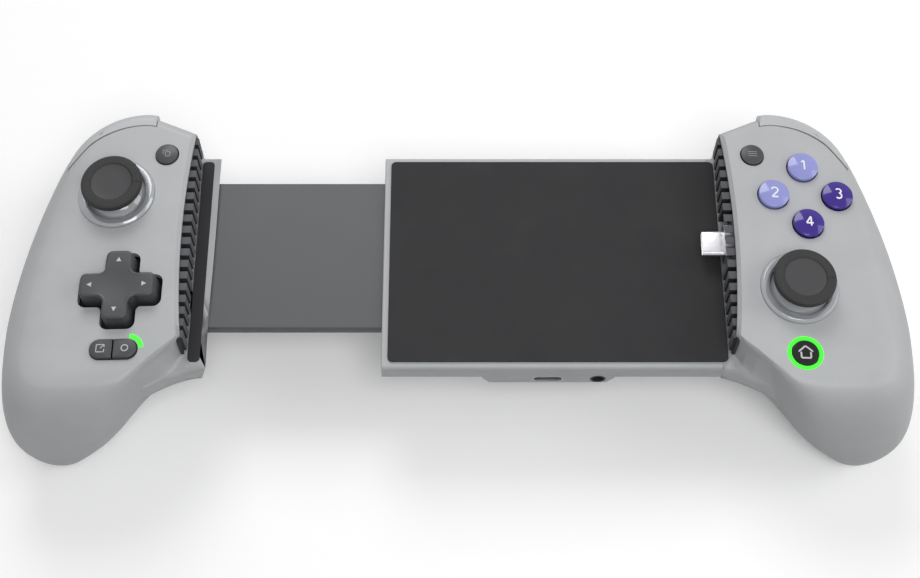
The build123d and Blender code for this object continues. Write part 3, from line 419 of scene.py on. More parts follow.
def new_object(name: str, points: np.ndarray, faces: list,
               uvs: np.ndarray | None = None) -> bpy.types.Object:
    """Make an object at the origin from whole arrays.

    Args:
        name: Name of the object.
        points: Vertices in metres in the row frame.
        faces: Vertex numbers of each face.
        uvs: One UV point for each vertex, or None.

    Returns:
        The new object, shaded smooth.
    """
    mesh = bpy.data.meshes.new(name)
    mesh.from_pydata(points, [], faces)
    mesh.update()
    mesh.shade_smooth()
    if uvs is not None:
        layer = mesh.uv_layers.new(name="along")
        corners = read(mesh.loops, "vertex_index", kind=np.int32)
        layer.data.foreach_set("uv", uvs[corners].astype(np.float32).ravel())
    made = bpy.data.objects.new(name, mesh)
    bpy.context.scene.collection.objects.link(made)
    return made


def grid_faces(rows: int, columns: int, closed: bool = True) -> list:
    """Quads of a grid of points, stored row by row.

    Args:
        rows: Number of rows.
        columns: Points in each row.
        closed: Whether each row closes on itself.

    Returns:
        Four vertex numbers for each quad.
    """
    row, column = np.meshgrid(np.arange(rows - 1), np.arange(columns - (not closed)), indexing="ij")
    after = (column + 1) % columns
    quads = np.stack([row * columns + column, row * columns + after,
                      (row + 1) * columns + after, (row + 1) * columns + column], axis=-1)
    return quads.reshape(-1, 4).tolist()


def run_lengths(points: np.ndarray) -> np.ndarray:
    """Lengths along a path, from its start to each of its points."""
    return np.concatenate([[0.0], np.cumsum(np.linalg.norm(np.diff(points, axis=0), axis=1))])


def unit(vectors: np.ndarray) -> np.ndarray:
    """Scale each row to length 1."""
    return vectors / np.maximum(np.linalg.norm(vectors, axis=1, keepdims=True), 1e-12)


def rounded_profile(corners: list[tuple[float, float, float]], steps: int = 6) -> np.ndarray:
    """Open profile through corners, each rounded with its own radius.

    Each corner becomes a quadratic curve from the point one tangent length before it to the point
    one after it, which is near enough to an arc at these sizes.

    Args:
        corners: Radius from the axis, height and rounding of each corner, in millimetres.
        steps: Points on each rounding.

    Returns:
        Points of the profile as radius and height.
    """
    flat = np.array([corner[:2] for corner in corners])
    roundings = [corner[2] for corner in corners[1:-1]]
    longest_share = 0.48
    points = [flat[0]]
    for before, corner, after, rounding in zip(flat[:-2], flat[1:-1], flat[2:], roundings):
        inward, outward = before - corner, after - corner
        lengths = np.linalg.norm(inward), np.linalg.norm(outward)
        if rounding <= 0 or min(lengths) == 0:
            points.append(corner)
            continue
        directions = inward / lengths[0], outward / lengths[1]
        half_angle = math.acos(float(np.clip(directions[0] @ directions[1], -1, 1))) / 2
        reach = min(rounding / math.tan(half_angle), longest_share * min(lengths))
        share = np.linspace(0, 1, steps)[:, None]
        start, end = corner + directions[0] * reach, corner + directions[1] * reach
        points.extend((1 - share) ** 2 * start + 2 * share * (1 - share) * corner + share ** 2 * end)
    points.append(flat[-1])
    return np.array(points)


def lathe(name: str, spot: FaceSpot, datum: Datum, profile: np.ndarray,
          segments: int = 96) -> bpy.types.Object:
    """Turn a profile round the face's normal at a spot.

    A point of the surface is (r cos a, r sin a, h) for each profile point (r, h) and angle a. A
    profile that starts or ends on the axis gets one point there, and one that closes on itself
    makes a ring. UV runs round the axis and along the profile, both in millimetres.

    Args:
        name: Name of the piece.
        spot: Where its axis stands on the face.
        datum: Place of the datum.
        profile: Radius and height of each point, in millimetres, outwards or upwards first.
        segments: Points round the axis.

    Returns:
        The turned piece.
    """
    angle = 2 * np.pi * np.arange(segments) / segments
    run = run_lengths(profile)
    starts_on_axis, ends_on_axis = profile[0, 0] < 1e-6, profile[-1, 0] < 1e-6
    ring = profile[int(starts_on_axis):len(profile) - int(ends_on_axis)]
    ring_run = run[int(starts_on_axis):len(profile) - int(ends_on_axis)]
    closes = not starts_on_axis and not ends_on_axis and np.allclose(profile[0], profile[-1])
    if closes:
        ring, ring_run = ring[:-1], ring_run[:-1]
    points = np.stack([ring[:, :1] * np.cos(angle), ring[:, :1] * np.sin(angle),
                       np.repeat(ring[:, 1:], segments, axis=1)], axis=-1).reshape(-1, 3)
    around = angle * float(profile[:, 0].max())
    uvs = np.stack([np.tile(around, len(ring)), np.repeat(ring_run, segments)], axis=-1)
    faces = grid_faces(len(ring), segments)
    column = np.arange(segments)
    after = (column + 1) % segments
    last = (len(ring) - 1) * segments
    if closes:
        faces += np.stack([last + column, last + after, after, column], axis=-1).tolist()
    for on_axis, end, first, second in ((starts_on_axis, 0, after, column),
                                        (ends_on_axis, -1, last + column, last + after)):
        if on_axis:
            points = np.vstack([points, [0, 0, profile[end, 1]]])
            uvs = np.vstack([uvs, [0, run[end]]])
            faces += np.stack([np.full(segments, len(points) - 1), first, second], axis=-1).tolist()
    return new_object(name, datum.to_row(spot.to_datum(points)), faces, uvs)


def welded_copy(node: str) -> bpy.types.Object:
    """Copy a CAD node, weld its loose triangles and join those that lie in one plane.

    Args:
        node: Name of the CAD node.

    Returns:
        The copy, as an object of its own at the origin.
    """
    weld_mm, plane_deg = 0.002, 0.4
    mesh = bpy.data.objects[node].data.copy()
    mesh.materials.clear()
    work = bmesh.new()
    work.from_mesh(mesh)
    bmesh.ops.remove_doubles(work, verts=work.verts, dist=weld_mm * MM)
    bmesh.ops.dissolve_limit(work, angle_limit=math.radians(plane_deg), verts=work.verts, edges=work.edges)
    work.to_mesh(mesh)
    work.free()
    copy = bpy.data.objects.new(f"{node}_finished", mesh)
    bpy.context.scene.collection.objects.link(copy)
    return copy


def round_edges(piece: bpy.types.Object, radius_mm: float) -> None:
    """Round a piece's sharp edges and shade it smooth between them.

    Args:
        piece: The piece.
        radius_mm: Width of the rounding.
    """
    rounded_deg, sharp_deg = 32.0, 50.0
    piece.data.shade_smooth()
    bevel = piece.modifiers.new("edge_rounding", "BEVEL")
    bevel.width = radius_mm * MM
    bevel.segments = 2
    bevel.limit_method = "ANGLE"
    bevel.angle_limit = math.radians(rounded_deg)
    bevel.use_clamp_overlap = True
    piece.data.set_sharp_from_angle(angle=math.radians(sharp_deg))


@dataclass
class Bench:
    """Where pieces are made: the datum, the materials and what the record says of each node."""

    frame: dict
    datum: Datum
    shop: MaterialShop
    slots: dict[str, str]

    @classmethod
    def from_frame(cls, frame: dict) -> Bench:
        slots = {entry["node"]: entry["material_slot"] for entry in frame["record"]["subparts"]}
        return cls(frame, Datum.from_cradle(), MaterialShop(), slots)

    def dress(self, piece: bpy.types.Object, body: str, finish: Finish, node: str | None = None,
              slot: str | None = None) -> None:
        """Give a piece its material and body, and hide the CAD node that it stands for.

        Args:
            piece: The piece.
            body: Body that it rides on.
            finish: Its finish.
            node: CAD node that it stands for, if any.
            slot: Not used. The record's slot of its finish, where it isn't the node's.
        """
        piece.data.materials.clear()
        piece.data.materials.append(self.shop.material(finish))
        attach(piece, body)
        if node:
            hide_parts(node)


def node_finish(node: str) -> Finish:
    """Look a CAD node's finish up, by its name without the side.

    Args:
        node: Name of the node.

    Returns:
        Its finish.
    """
    for side in SIDES:
        node = node.removeprefix(side + "_")
    return NODE_FINISHES[node]


# Handles


def cubic_spline(knots: np.ndarray, values: np.ndarray, samples: np.ndarray, closed: bool) -> np.ndarray:
    """Cubic spline through values, with equal slopes and curvatures on both sides of each knot.

    The curvatures at the knots solve one linear system, and each stretch is then the straight
    line between its ends plus the cubic terms that its two curvatures give.

    Args:
        knots: Growing parameter of each value.
        values: One row for each knot; the last repeats the first when closed.
        samples: Parameters to work out.
        closed: Whether the curve closes on itself.

    Returns:
        One row for each sample.
    """
    steps = np.diff(knots)
    slopes = np.diff(values, axis=0) / steps[:, None]
    if closed:
        index = np.arange(len(steps))
        before = steps[index - 1]
        matrix = np.zeros((len(steps), len(steps)))
        matrix[index, index] = 2 * (before + steps)
        matrix[index, index - 1] += before
        matrix[index, (index + 1) % len(steps)] += steps
        curvature = np.linalg.solve(matrix, 6 * (slopes - slopes[index - 1]))
        curvature = np.vstack([curvature, curvature[:1]])
    else:
        matrix = np.eye(len(knots))
        inner = np.arange(1, len(knots) - 1)
        matrix[inner, inner - 1] = steps[:-1]
        matrix[inner, inner] = 2 * (steps[:-1] + steps[1:])
        matrix[inner, inner + 1] = steps[1:]
        right = np.zeros_like(values)
        right[1:-1] = 6 * np.diff(slopes, axis=0)
        curvature = np.linalg.solve(matrix, right)
    piece = np.clip(np.searchsorted(knots, samples, side="right") - 1, 0, len(steps) - 1)
    span = steps[piece][:, None]
    first = (knots[piece + 1] - samples)[:, None] / span
    second = 1 - first
    bend = (first ** 3 - first) * curvature[piece] + (second ** 3 - second) * curvature[piece + 1]
    return first * values[piece] + second * values[piece + 1] + bend * span ** 2 / 6


@dataclass(frozen=True)
class HandleForm:
    """Outer form of a handle: rounded sections from shoulder to tip, and a smooth skin on them.

    A section's point at angle a lies at sign(cos a)|cos a|^(2/n) of its half width and at
    sign(sin a)|sin a|^(2/n) of its height over a sloping middle line, with its own n for each
    quarter. All shares are of the reach, the span and the depth.
    """

    half_gap: float = 80.0
    span: float = 54.9
    depth: float = 38.6
    reach_up: float = 46.0
    reach_down: float = 61.2
    face_edge: float = 81.0
    face_level: float = 5.0
    tilt_deg: float = 3.0
    station_shares: tuple = (
        (1.000, -0.109, 0.534, 0.160, -0.492, -0.052, -0.259),
        (0.739, -0.109, 0.692, 0.155, -0.518, -0.052, -0.259),
        (0.391, -0.109, 0.821, 0.150, -0.570, -0.052, -0.285),
        (0.000, -0.109, 0.918, 0.146, -0.648, -0.052, -0.311),
        (-0.261, -0.109, 0.973, 0.146, -0.751, 0.000, -0.311),
        (-0.458, -0.069, 0.995, 0.148, -0.868, 0.052, -0.311),
        (-0.588, 0.050, 0.998, 0.152, -0.953, 0.078, -0.324),
        (-0.703, 0.188, 0.996, 0.150, -1.000, 0.060, -0.350),
        (-0.801, 0.291, 0.989, 0.112, -1.000, -0.040, -0.389),
        (-0.882, 0.397, 0.973, 0.010, -0.964, -0.240, -0.466),
        (-0.948, 0.518, 0.922, -0.190, -0.896, -0.440, -0.570),
        (-0.989, 0.650, 0.811, -0.466, -0.803, -0.648, -0.674),
        (-1.000, 0.710, 0.762, -0.575, -0.725, -0.655, -0.667),
    )
    corner_powers: tuple = (
        (7.0, 4.0, 3.0), (7.0, 4.0, 3.0), (7.0, 4.0, 2.8), (7.0, 3.8, 2.6), (7.0, 3.6, 2.4),
        (7.0, 3.4, 2.3), (7.0, 3.1, 2.1), (7.0, 2.8, 2.0), (6.0, 2.5, 2.0), (4.5, 2.3, 2.0),
        (3.0, 2.1, 2.0), (2.2, 2.2, 2.0), (2.2, 2.2, 2.0),
    )
    section_points: int = 24
    rows: int = 260
    columns: int = 288

    def section(self, shares: tuple, powers: tuple) -> np.ndarray:
        """Points of one section of the right handle, in millimetres from the datum.

        Args:
            shares: Place along the handle, inner and outer edge, front, back, two middle levels.
            powers: Squareness of the front inner, front outer and back corners.

        Returns:
            The section's points, in order round it.
        """
        along, inner, outer, front, back, inner_level, outer_level = shares
        angle = 2 * np.pi * np.arange(self.section_points) / self.section_points
        cosine, sine = np.cos(angle), np.sin(angle)
        power = np.where(sine < 0, powers[2], np.where(cosine > 0, powers[1], powers[0]))
        across = np.sign(cosine) * np.abs(cosine) ** (2 / power)
        rise = np.sign(sine) * np.abs(sine) ** (2 / power)
        level = self.depth * ((inner_level + outer_level) / 2 + (outer_level - inner_level) / 2 * across)
        height = np.where(sine >= 0, self.depth * front - level, level - self.depth * back)
        x = self.half_gap + (outer + inner) * self.span / 2 + (outer - inner) * self.span / 2 * across
        y = np.full_like(x, along * (self.reach_up if along > 0 else self.reach_down))
        slope = math.tan(math.radians(self.tilt_deg))
        return np.stack([x, y, level + height * rise - slope * (x - self.face_edge)], axis=-1)

    def skin(self) -> np.ndarray:
        """Grid of the right handle's form: splines round each section, then splines along the handle.

        Returns:
            Points in millimetres from the datum, rows along the handle and columns round it.
        """
        rounds = []
        for shares, powers in zip(self.station_shares, self.corner_powers):
            points = self.section(shares, powers)
            closed = np.vstack([points, points[:1]])
            run = run_lengths(closed)
            samples = run[-1] * np.arange(self.columns) / self.columns
            rounds.append(cubic_spline(run, closed, samples, True))
        stack = np.stack(rounds)
        gaps = np.linalg.norm(np.diff(stack, axis=0), axis=2).mean(axis=1)
        run = np.concatenate([[0.0], np.cumsum(gaps)])
        samples = np.linspace(0, run[-1], self.rows)
        flat = cubic_spline(run, stack.reshape(len(stack), -1), samples, False)
        return flat.reshape(self.rows, self.columns, 3)


class HandleSkin:
    """Fine skin of one handle that the copies of its shells are drawn onto."""

    def __init__(self, side: str, datum: Datum, form: HandleForm) -> None:
        """Work out the skin and the tree that finds its nearest point.

        Args:
            side: "left" or "right".
            datum: Place of the datum.
            form: The form of the right handle.
        """
        grid = form.skin()
        if side == "left":
            grid = grid * np.array([-1.0, 1.0, 1.0])
        self.points = datum.to_row(grid).reshape(-1, 3)
        along = np.gradient(grid, axis=0)
        around = (np.roll(grid, -1, axis=1) - np.roll(grid, 1, axis=1)) / 2
        normals = unit(np.cross(along, around).reshape(-1, 3))
        centre = self.points.mean(axis=0)
        outward = np.sign(np.sum(normals * (self.points - centre), axis=1).mean())
        self.normals = normals * outward
        self.quads = np.array(grid_faces(form.rows, form.columns))
        self.tree = BVHTree.FromPolygons(self.points.tolist(), self.quads.tolist())
        tilt = math.radians(form.tilt_deg)
        sign = -1.0 if side == "left" else 1.0
        self.face_normal = np.array([sign * math.sin(tilt), 0.0, math.cos(tilt)])
        on_edge = np.array([sign * form.face_edge, 0.0, form.face_level])
        self.face_origin = datum.to_row(on_edge)

    def depth_mm(self, points: np.ndarray) -> np.ndarray:
        """Tell how far points lie below the handle's flat face.

        Args:
            points: Points in the row frame, in metres.

        Returns:
            Depths in millimetres.
        """
        return (self.face_origin - points) @ self.face_normal / MM

    def nearest(self, points: np.ndarray) -> tuple[np.ndarray, np.ndarray, np.ndarray]:
        """Find the skin's nearest points, with smooth normals there.

        The normal is the mean of the four corner normals of the nearest quad, each weighed by one
        over its squared distance.

        Args:
            points: Points in the row frame, in metres.

        Returns:
            Nearest points, normals and distances.
        """
        found = [self.tree.find_nearest(Vector(point)) for point in points]
        places = np.array([hit[0] for hit in found]).reshape(-1, 3)
        corners = self.quads[[hit[2] for hit in found]]
        distances = np.array([hit[3] for hit in found])
        offsets = self.points[corners] - places[:, None, :]
        weights = 1 / (np.sum(offsets ** 2, axis=2) + 1e-10)
        normals = unit(np.sum(self.normals[corners] * weights[:, :, None], axis=1))
        return places, normals, distances


class Mark(int, Enum):
    """Where a face of a shell's copy lies."""

    ELSEWHERE = 0
    ON_SKIN = 1
    ON_FACE = 2


@dataclass(frozen=True)
class SkinFit:
    """How a shell's copy is refined and laid on the skin, and where skin and flat face blend."""

    near_mm: float = 0.25
    facing: float = 0.97
    flat_mm: float = 0.03
    flat_facing: float = 0.9998
    edge_mm: float = 1.6
    passes: int = 4
    skin_blend_mm: float = 1.4
    face_blend_mm: float = 0.6
    soft_deg: float = 26.0
    hard_deg: float = 48.0
    sharp_deg: float = 28.0
    one_plane: float = 0.97
    border_steps: int = 6

    def marks(self, work: bmesh.types.BMesh, skin: HandleSkin) -> list[int]:
        """Tell which faces belong to the skin and which to the flat face.

        A face on the skin lies near it and faces the same way. One on the flat face lies in its
        plane.

        Args:
            work: The copy's mesh.
            skin: The handle's skin.

        Returns:
            One mark for each face.
        """
        work.faces.ensure_lookup_table()
        centres = np.array([face.calc_center_median() for face in work.faces])
        facing = np.array([face.normal for face in work.faces])
        _, normals, distances = skin.nearest(centres)
        in_plane = np.abs(skin.depth_mm(centres)) < self.flat_mm
        flat = in_plane & (facing @ skin.face_normal > self.flat_facing)
        laid = (distances < self.near_mm * MM) & (np.sum(normals * facing, axis=1) > self.facing)
        skin_or_not = np.where(laid, Mark.ON_SKIN.value, Mark.ELSEWHERE.value)
        return np.where(flat, Mark.ON_FACE.value, skin_or_not).tolist()

    def refine(self, work: bmesh.types.BMesh, flag: bmesh.types.BMLayerItem) -> None:
        """Halve the long edges of the marked faces, some times over.

        Args:
            work: The copy's mesh.
            flag: Layer of the marks.
        """
        for _ in range(self.passes):
            long_edges = [edge for edge in work.edges if edge.calc_length() > self.edge_mm * MM
                          and any(face[flag] for face in edge.link_faces)]
            if not long_edges:
                break
            bmesh.ops.subdivide_edges(work, edges=long_edges, cuts=1)
            bmesh.ops.triangulate(work, faces=[face for face in work.faces if len(face.verts) > 3])
        work.normal_update()

    def lay(self, piece: bpy.types.Object, skin: HandleSkin) -> None:
        """Refine a copy where it lies on the skin, draw it onto the skin and take its normals.

        A vertex inside the skin's patch goes to the nearest point. One on the patch's border moves
        only in the plane of the face beside it, by repeated steps towards the nearest point.

        Args:
            piece: The shell's welded copy.
            skin: The handle's skin.
        """
        work = bmesh.new()
        work.from_mesh(piece.data)
        bmesh.ops.triangulate(work, faces=work.faces)
        flag = work.faces.layers.int.new("mark")
        for face, mark in zip(work.faces, self.marks(work, skin)):
            face[flag] = mark
        self.refine(work, flag)
        inner, border, planes = [], [], []
        for vertex in work.verts:
            marks = {face[flag] for face in vertex.link_faces}
            if marks == {Mark.ON_SKIN.value}:
                inner.append(vertex)
            elif Mark.ON_SKIN.value in marks:
                sides = [face.normal for face in vertex.link_faces if face[flag] != Mark.ON_SKIN.value]
                mean = sum(sides, Vector()).normalized()
                if all(mean.dot(normal) > self.one_plane for normal in sides):
                    border.append(vertex)
                    planes.append(mean)
        places, _, _ = skin.nearest(np.array([vertex.co for vertex in inner]))
        for vertex, place in zip(inner, places):
            vertex.co = place
        if border:
            points = np.array([vertex.co for vertex in border])
            plane = np.array(planes)
            for _ in range(self.border_steps):
                step = skin.nearest(points)[0] - points
                points = points + step - np.sum(step * plane, axis=1, keepdims=True) * plane
            for vertex, point in zip(border, points):
                vertex.co = point
        work.to_mesh(piece.data)
        work.free()
        self.take_normals(piece.data, skin)

    def take_normals(self, mesh: bpy.types.Mesh, skin: HandleSkin) -> None:
        """Give the marked corners normals of the skin or of the flat face, and leave the others.

        Where skin and face meet at a small angle, both turn towards each other over a short way,
        so that no crease shows there. Where they meet at a large angle the crease stays.

        Args:
            mesh: The refined mesh, with its faces marked.
            skin: The handle's skin.
        """
        mesh.shade_smooth()
        mesh.set_sharp_from_angle(angle=math.radians(self.sharp_deg))
        marks = read(mesh.attributes["mark"].data, "value", kind=np.int32)
        points = read(mesh.vertices, "co", 3)
        corners = read(mesh.loops, "vertex_index", kind=np.int32)
        totals = read(mesh.polygons, "loop_total", kind=np.int32)
        _, normals, distances = skin.nearest(points)
        soft, hard = math.cos(math.radians(self.soft_deg)), math.cos(math.radians(self.hard_deg))
        ease = np.clip((normals @ skin.face_normal - hard) / (soft - hard), 0, 1)
        ease = ease ** 2 * (3 - 2 * ease)
        to_face = 0.5 * ease * np.clip(1 - skin.depth_mm(points) / self.skin_blend_mm, 0, 1)
        to_skin = 0.5 * ease * np.clip(1 - distances / (self.face_blend_mm * MM), 0, 1)
        laid, flat = (unit(own * (1 - share)[:, None] + other * share[:, None]) for own, other, share in (
            (normals, skin.face_normal, to_face), (skin.face_normal, normals, to_skin)))
        mark = np.repeat(marks, totals)[:, None]
        chosen = np.where(mark == Mark.ON_SKIN.value, laid[corners], 0.0)
        chosen = np.where(mark == Mark.ON_FACE.value, flat[corners], chosen)
        mesh.normals_split_custom_set(chosen.tolist())
        mesh.attributes.remove(mesh.attributes["mark"])


@dataclass(frozen=True)
class RibbedPad:
    """Rubber pad on the hollowed inner wall, one rubber of one colour, with shade painted into the gaps
    between its ribs.
    """

    ends_at: float = 80.6
    lens_depth: float = 2.4
    lens_half: float = 37.0
    margin: float = 0.2
    flank: float = 0.6

    def paint_gap_shade(self, piece: bpy.types.Object, bench: Bench) -> None:
        """Paint shade on the ribs' flanks and the base between them, in the black rubber's material.

        The base lies lens_depth * (1 - (y / lens_half) squared) behind its place at the pad's ends.

        Args:
            piece: The pad, with the ribs' material in its first slot.
            bench: Where pieces are made.
        """
        # Second slot: the black rubber, as painted shade in the gaps.
        piece.data.materials.append(bench.shop.material(CRADLE_RUBBER_AND_GAP_SHADE))
        centres = read(piece.data.polygons, "center", 3) / MM
        normals = read(piece.data.polygons, "normal", 3)
        base = self.ends_at + self.lens_depth * (1 - ((centres[:, 1] - bench.datum.y) / self.lens_half) ** 2)
        # Faces deep in the gaps or on the ribs' flanks get the painted shade.
        shaded_faces = (np.abs(centres[:, 0]) > base - self.margin) | (np.abs(normals[:, 1]) > self.flank)
        piece.data.polygons.foreach_set("material_index", shaded_faces.astype(np.int32))


@dataclass
class Handle:
    """One handle's case: shells, faceplate, shoulder controls, back button and ribbed pad."""

    side: str
    bench: Bench
    skin: HandleSkin
    fit: SkinFit = SkinFit()
    edge_mm: float = 0.25

    def build(self) -> None:
        """Make and dress every piece of the handle."""
        grip = f"{self.side}_grip"
        for part in ("front_shell", "back_shell", "faceplate", "bumper"):
            node = f"{self.side}_{part}"
            piece = welded_copy(node)
            self.fit.lay(piece, self.skin)
            self.bench.dress(piece, node if part == "bumper" else grip, NODE_FINISHES[part], node)
        for part in ("trigger", "back_button", "phone_pad"):
            node = f"{self.side}_{part}"
            piece = welded_copy(node)
            round_edges(piece, self.edge_mm)
            self.bench.dress(piece, grip if part == "phone_pad" else node, NODE_FINISHES[part], node)
            if part == "phone_pad":
                # Shade is painted into the pad's gaps and onto its ribs' flanks.
                RibbedPad().paint_gap_shade(piece, self.bench)
        RootFillet().build(self.side, self.bench)
        LOG.info("%s handle built", self.side)


@dataclass(frozen=True)
class RootFillet:
    """Hollow fillet that leads the grip's wall into the web at the shelf or the housing.

    A section runs from the crest of the wall down to the web's outer edge. Its point at share t is
    foot + (crest - foot)(1 - t)^k + (edge - foot) t^k, so a high k hugs the corner between wall and
    web and a low one fills it softly. All places are in millimetres from the datum, on the right
    handle.
    """

    crest: tuple = ((81.4, -34.2, 3.6), (84.2, -36.9, 3.6), (87.0, -39.5, 3.4), (90.2, -42.5, 3.3),
                    (93.6, -45.5, 2.8))
    edge: tuple = ((79.1, -38.8, -9.0), (83.0, -40.0, -9.0), (86.6, -41.5, -9.0), (90.2, -43.3, -9.0),
                   (93.8, -45.2, -9.3))
    foot_level: float = -9.05
    hugging: tuple = (7.0, 2.6, 1.5, 1.4, 1.5)
    stations: tuple = (0.0, 0.25, 0.5, 0.75, 1.0)
    rows: int = 60
    columns: int = 40

    def grid(self) -> np.ndarray:
        """Work out the fillet's points.

        Returns:
            Points in millimetres from the datum, rows along the handle and columns down the wall.
        """
        knots, samples = np.array(self.stations), np.linspace(0, 1, self.rows)
        crest, edge = (cubic_spline(knots, np.array(places), samples, False)[:, None]
                       for places in (self.crest, self.edge))
        foot = crest.copy()
        foot[..., 2] = self.foot_level
        power = np.interp(samples, knots, self.hugging)[:, None, None]
        share = np.linspace(0, 1, self.columns)[None, :, None]
        return foot + (crest - foot) * (1 - share) ** power + (edge - foot) * share ** power

    def build(self, side: str, bench: Bench) -> None:
        """Make and dress one handle's fillet.

        Args:
            side: "left" or "right".
            bench: Where pieces are made.
        """
        points, faces = self.grid(), np.array(grid_faces(self.rows, self.columns, closed=False))
        if side == "left":
            points, faces = points * np.array([-1.0, 1.0, 1.0]), faces[:, ::-1]
        fillet = new_object(f"{side}_root_fillet", bench.datum.to_row(points).reshape(-1, 3), faces.tolist())
        bench.dress(fillet, f"{side}_grip", SHELL_ABS, slot="shell")


# Sticks and buttons


@dataclass
class Stick:
    """Analogue stick: dished cap with a knurled rim, glossy dome under it and clear collar."""

    side: str
    spot: FaceSpot
    bench: Bench
    cap_radius: float = 9.2
    cap_low: float = 5.3
    cap_top: float = 7.7
    cap_round: float = 1.0
    rim_inner: float = 4.6
    rim_crest: float = 0.6
    rim_crest_round: float = 0.8
    rim_step: float = 0.3
    rim_step_round: float = 0.1
    rim_foot: float = 1.6
    dish_radius: float = 6.0
    dish_depth: float = 0.7
    dish_lap: float = 0.1
    dish_edge: float = 0.35
    dish_foot: float = 0.2
    neck_radius: float = 3.4
    collar_outer: float = 11.8
    collar_inner: float = 9.1
    collar_height: float = 1.3
    collar_round: float = 0.5
    dome_radius: float = 11.0
    dome_wall: float = 1.0
    dome_edge: float = 3.7
    neck_lap: float = 0.1
    pivot_depth: float = 7.0
    dish_points: int = 24
    dome_points: int = 28

    def rim_profile(self) -> np.ndarray:
        """Closed profile of the knurled rim round the dish: under, up the side, over the crest, in.

        Returns:
            Radius and height of each point.
        """
        low, top = self.cap_low, self.cap_top
        return rounded_profile([
            (self.rim_inner, low, 0), (self.cap_radius, low, self.cap_round),
            (self.cap_radius, top, self.cap_round),
            (self.dish_radius + self.rim_crest, top, self.rim_crest_round),
            (self.dish_radius - self.rim_step, top - self.rim_crest, self.rim_step_round),
            (self.rim_inner, top - self.rim_foot, 0), (self.rim_inner, low, 0)], 8)

    def dish_profile(self) -> np.ndarray:
        """Profile of the dish, from the axis under it to the axis on top.

        Its floor at share t of the radius lies (depth - edge) * t^6 above its middle.

        Returns:
            Radius and height of each point.
        """
        reach = self.dish_radius + self.dish_lap
        low, brim = self.cap_low + self.dish_foot, self.cap_top - self.dish_edge
        share = np.linspace(1, 0, self.dish_points)
        rise = (self.dish_depth - self.dish_edge) * share ** 6
        bowl = np.stack([reach * share, self.cap_top - self.dish_depth + rise], axis=-1)
        edge = rounded_profile([(0.0, low, 0), (reach, low, 0), (reach, brim, 0)], 6)
        return np.vstack([edge, bowl[1:]])

    def dome_profile(self) -> np.ndarray:
        """Profile of the dome, a spherical shell round the stick's pivot, and of the cap's neck.

        Returns:
            Radius and height of each point.
        """
        low = math.asin(self.dome_edge / self.dome_radius)
        high = math.acos(self.neck_radius / self.dome_radius)
        sweep = np.linspace(low, high, self.dome_points)
        outer = self.dome_radius * np.stack([np.cos(sweep), np.sin(sweep)], axis=-1)
        inner = outer[::-1] * (1 - self.dome_wall / self.dome_radius)
        inner[0, 0] = 0.0
        top = self.cap_low + self.pivot_depth + self.neck_lap
        profile = np.vstack([inner, outer, [[self.neck_radius, top], [0.0, top]]])
        return profile - np.array([0.0, self.pivot_depth])

    def collar_profile(self) -> np.ndarray:
        """Closed profile of the clear collar round the stick's opening: foot, side, top and well.

        Returns:
            Radius and height of each point.
        """
        outer, inner, top, bend = self.collar_outer, self.collar_inner, self.collar_height, self.collar_round
        foot, lean, waist, shoulder = 0.02, 0.15, 0.55 * top, 0.9
        return rounded_profile([
            (inner, 0.0, 0), (outer, foot, 0.2), (outer - lean, waist, bend), (outer - shoulder, top, bend),
            (inner + bend, top, 0.4), (inner, top - bend, 0.3), (inner, 0.0, 0)], 8)

    def build(self) -> None:
        """Make and dress the stick's visible pieces."""
        name = f"{self.side}_stick"
        for part, profile, segments, body, finish, node, slot in (
                ("rim", self.rim_profile(), 96, name, STICK_GRIP, f"{name}_cap", None),
                ("dish", self.dish_profile(), 96, name, STICK_RUBBER, None, "stick_rubber"),
                # The dome's grey carries painted light for the well under the cap.
                ("dome", self.dome_profile(), 96, name, DOME_PC_PAINTED_LIGHT, f"{name}_shaft", None),
                ("collar", self.collar_profile(), 128, f"{self.side}_grip", COLLAR_PC, f"{name}_ring", None)):
            piece = lathe(f"{name}_{part}", self.spot, self.bench.datum, profile, segments)
            self.bench.dress(piece, body, finish, node, slot)
        LOG.info("%s built", name)


@dataclass
class RoundButton:
    """Round button with a domed top, as the face buttons and the small ones have."""

    node: str
    spot: FaceSpot
    radius: float
    height: float
    dome: float
    finish: Finish
    bench: Bench
    skirt: float = 2.0
    edge_round: float = 0.35
    edge_share: float = 0.9

    def profile(self) -> np.ndarray:
        """Profile from the axis under the skirt, up the side and over the dome to the axis.

        The dome's height at radius r is its rise times (1 - (r / R) squared).

        Returns:
            Radius and height of each point.
        """
        start = self.edge_share
        side = rounded_profile([(0.0, -self.skirt, 0), (self.radius, -self.skirt, 0),
                                (self.radius, self.height - self.dome, self.edge_round),
                                (self.radius * start, self.height - self.dome * start ** 2, 0)], 8)
        share = np.linspace(start, 0, 20)[1:]
        top = np.stack([self.radius * share, self.height - self.dome * share ** 2], axis=-1)
        return np.vstack([side, top])

    def build(self) -> None:
        """Make and dress the button."""
        piece = lathe(f"{self.node}_cap", self.spot, self.bench.datum, self.profile(), 80)
        self.bench.dress(piece, self.node, self.finish, self.node)


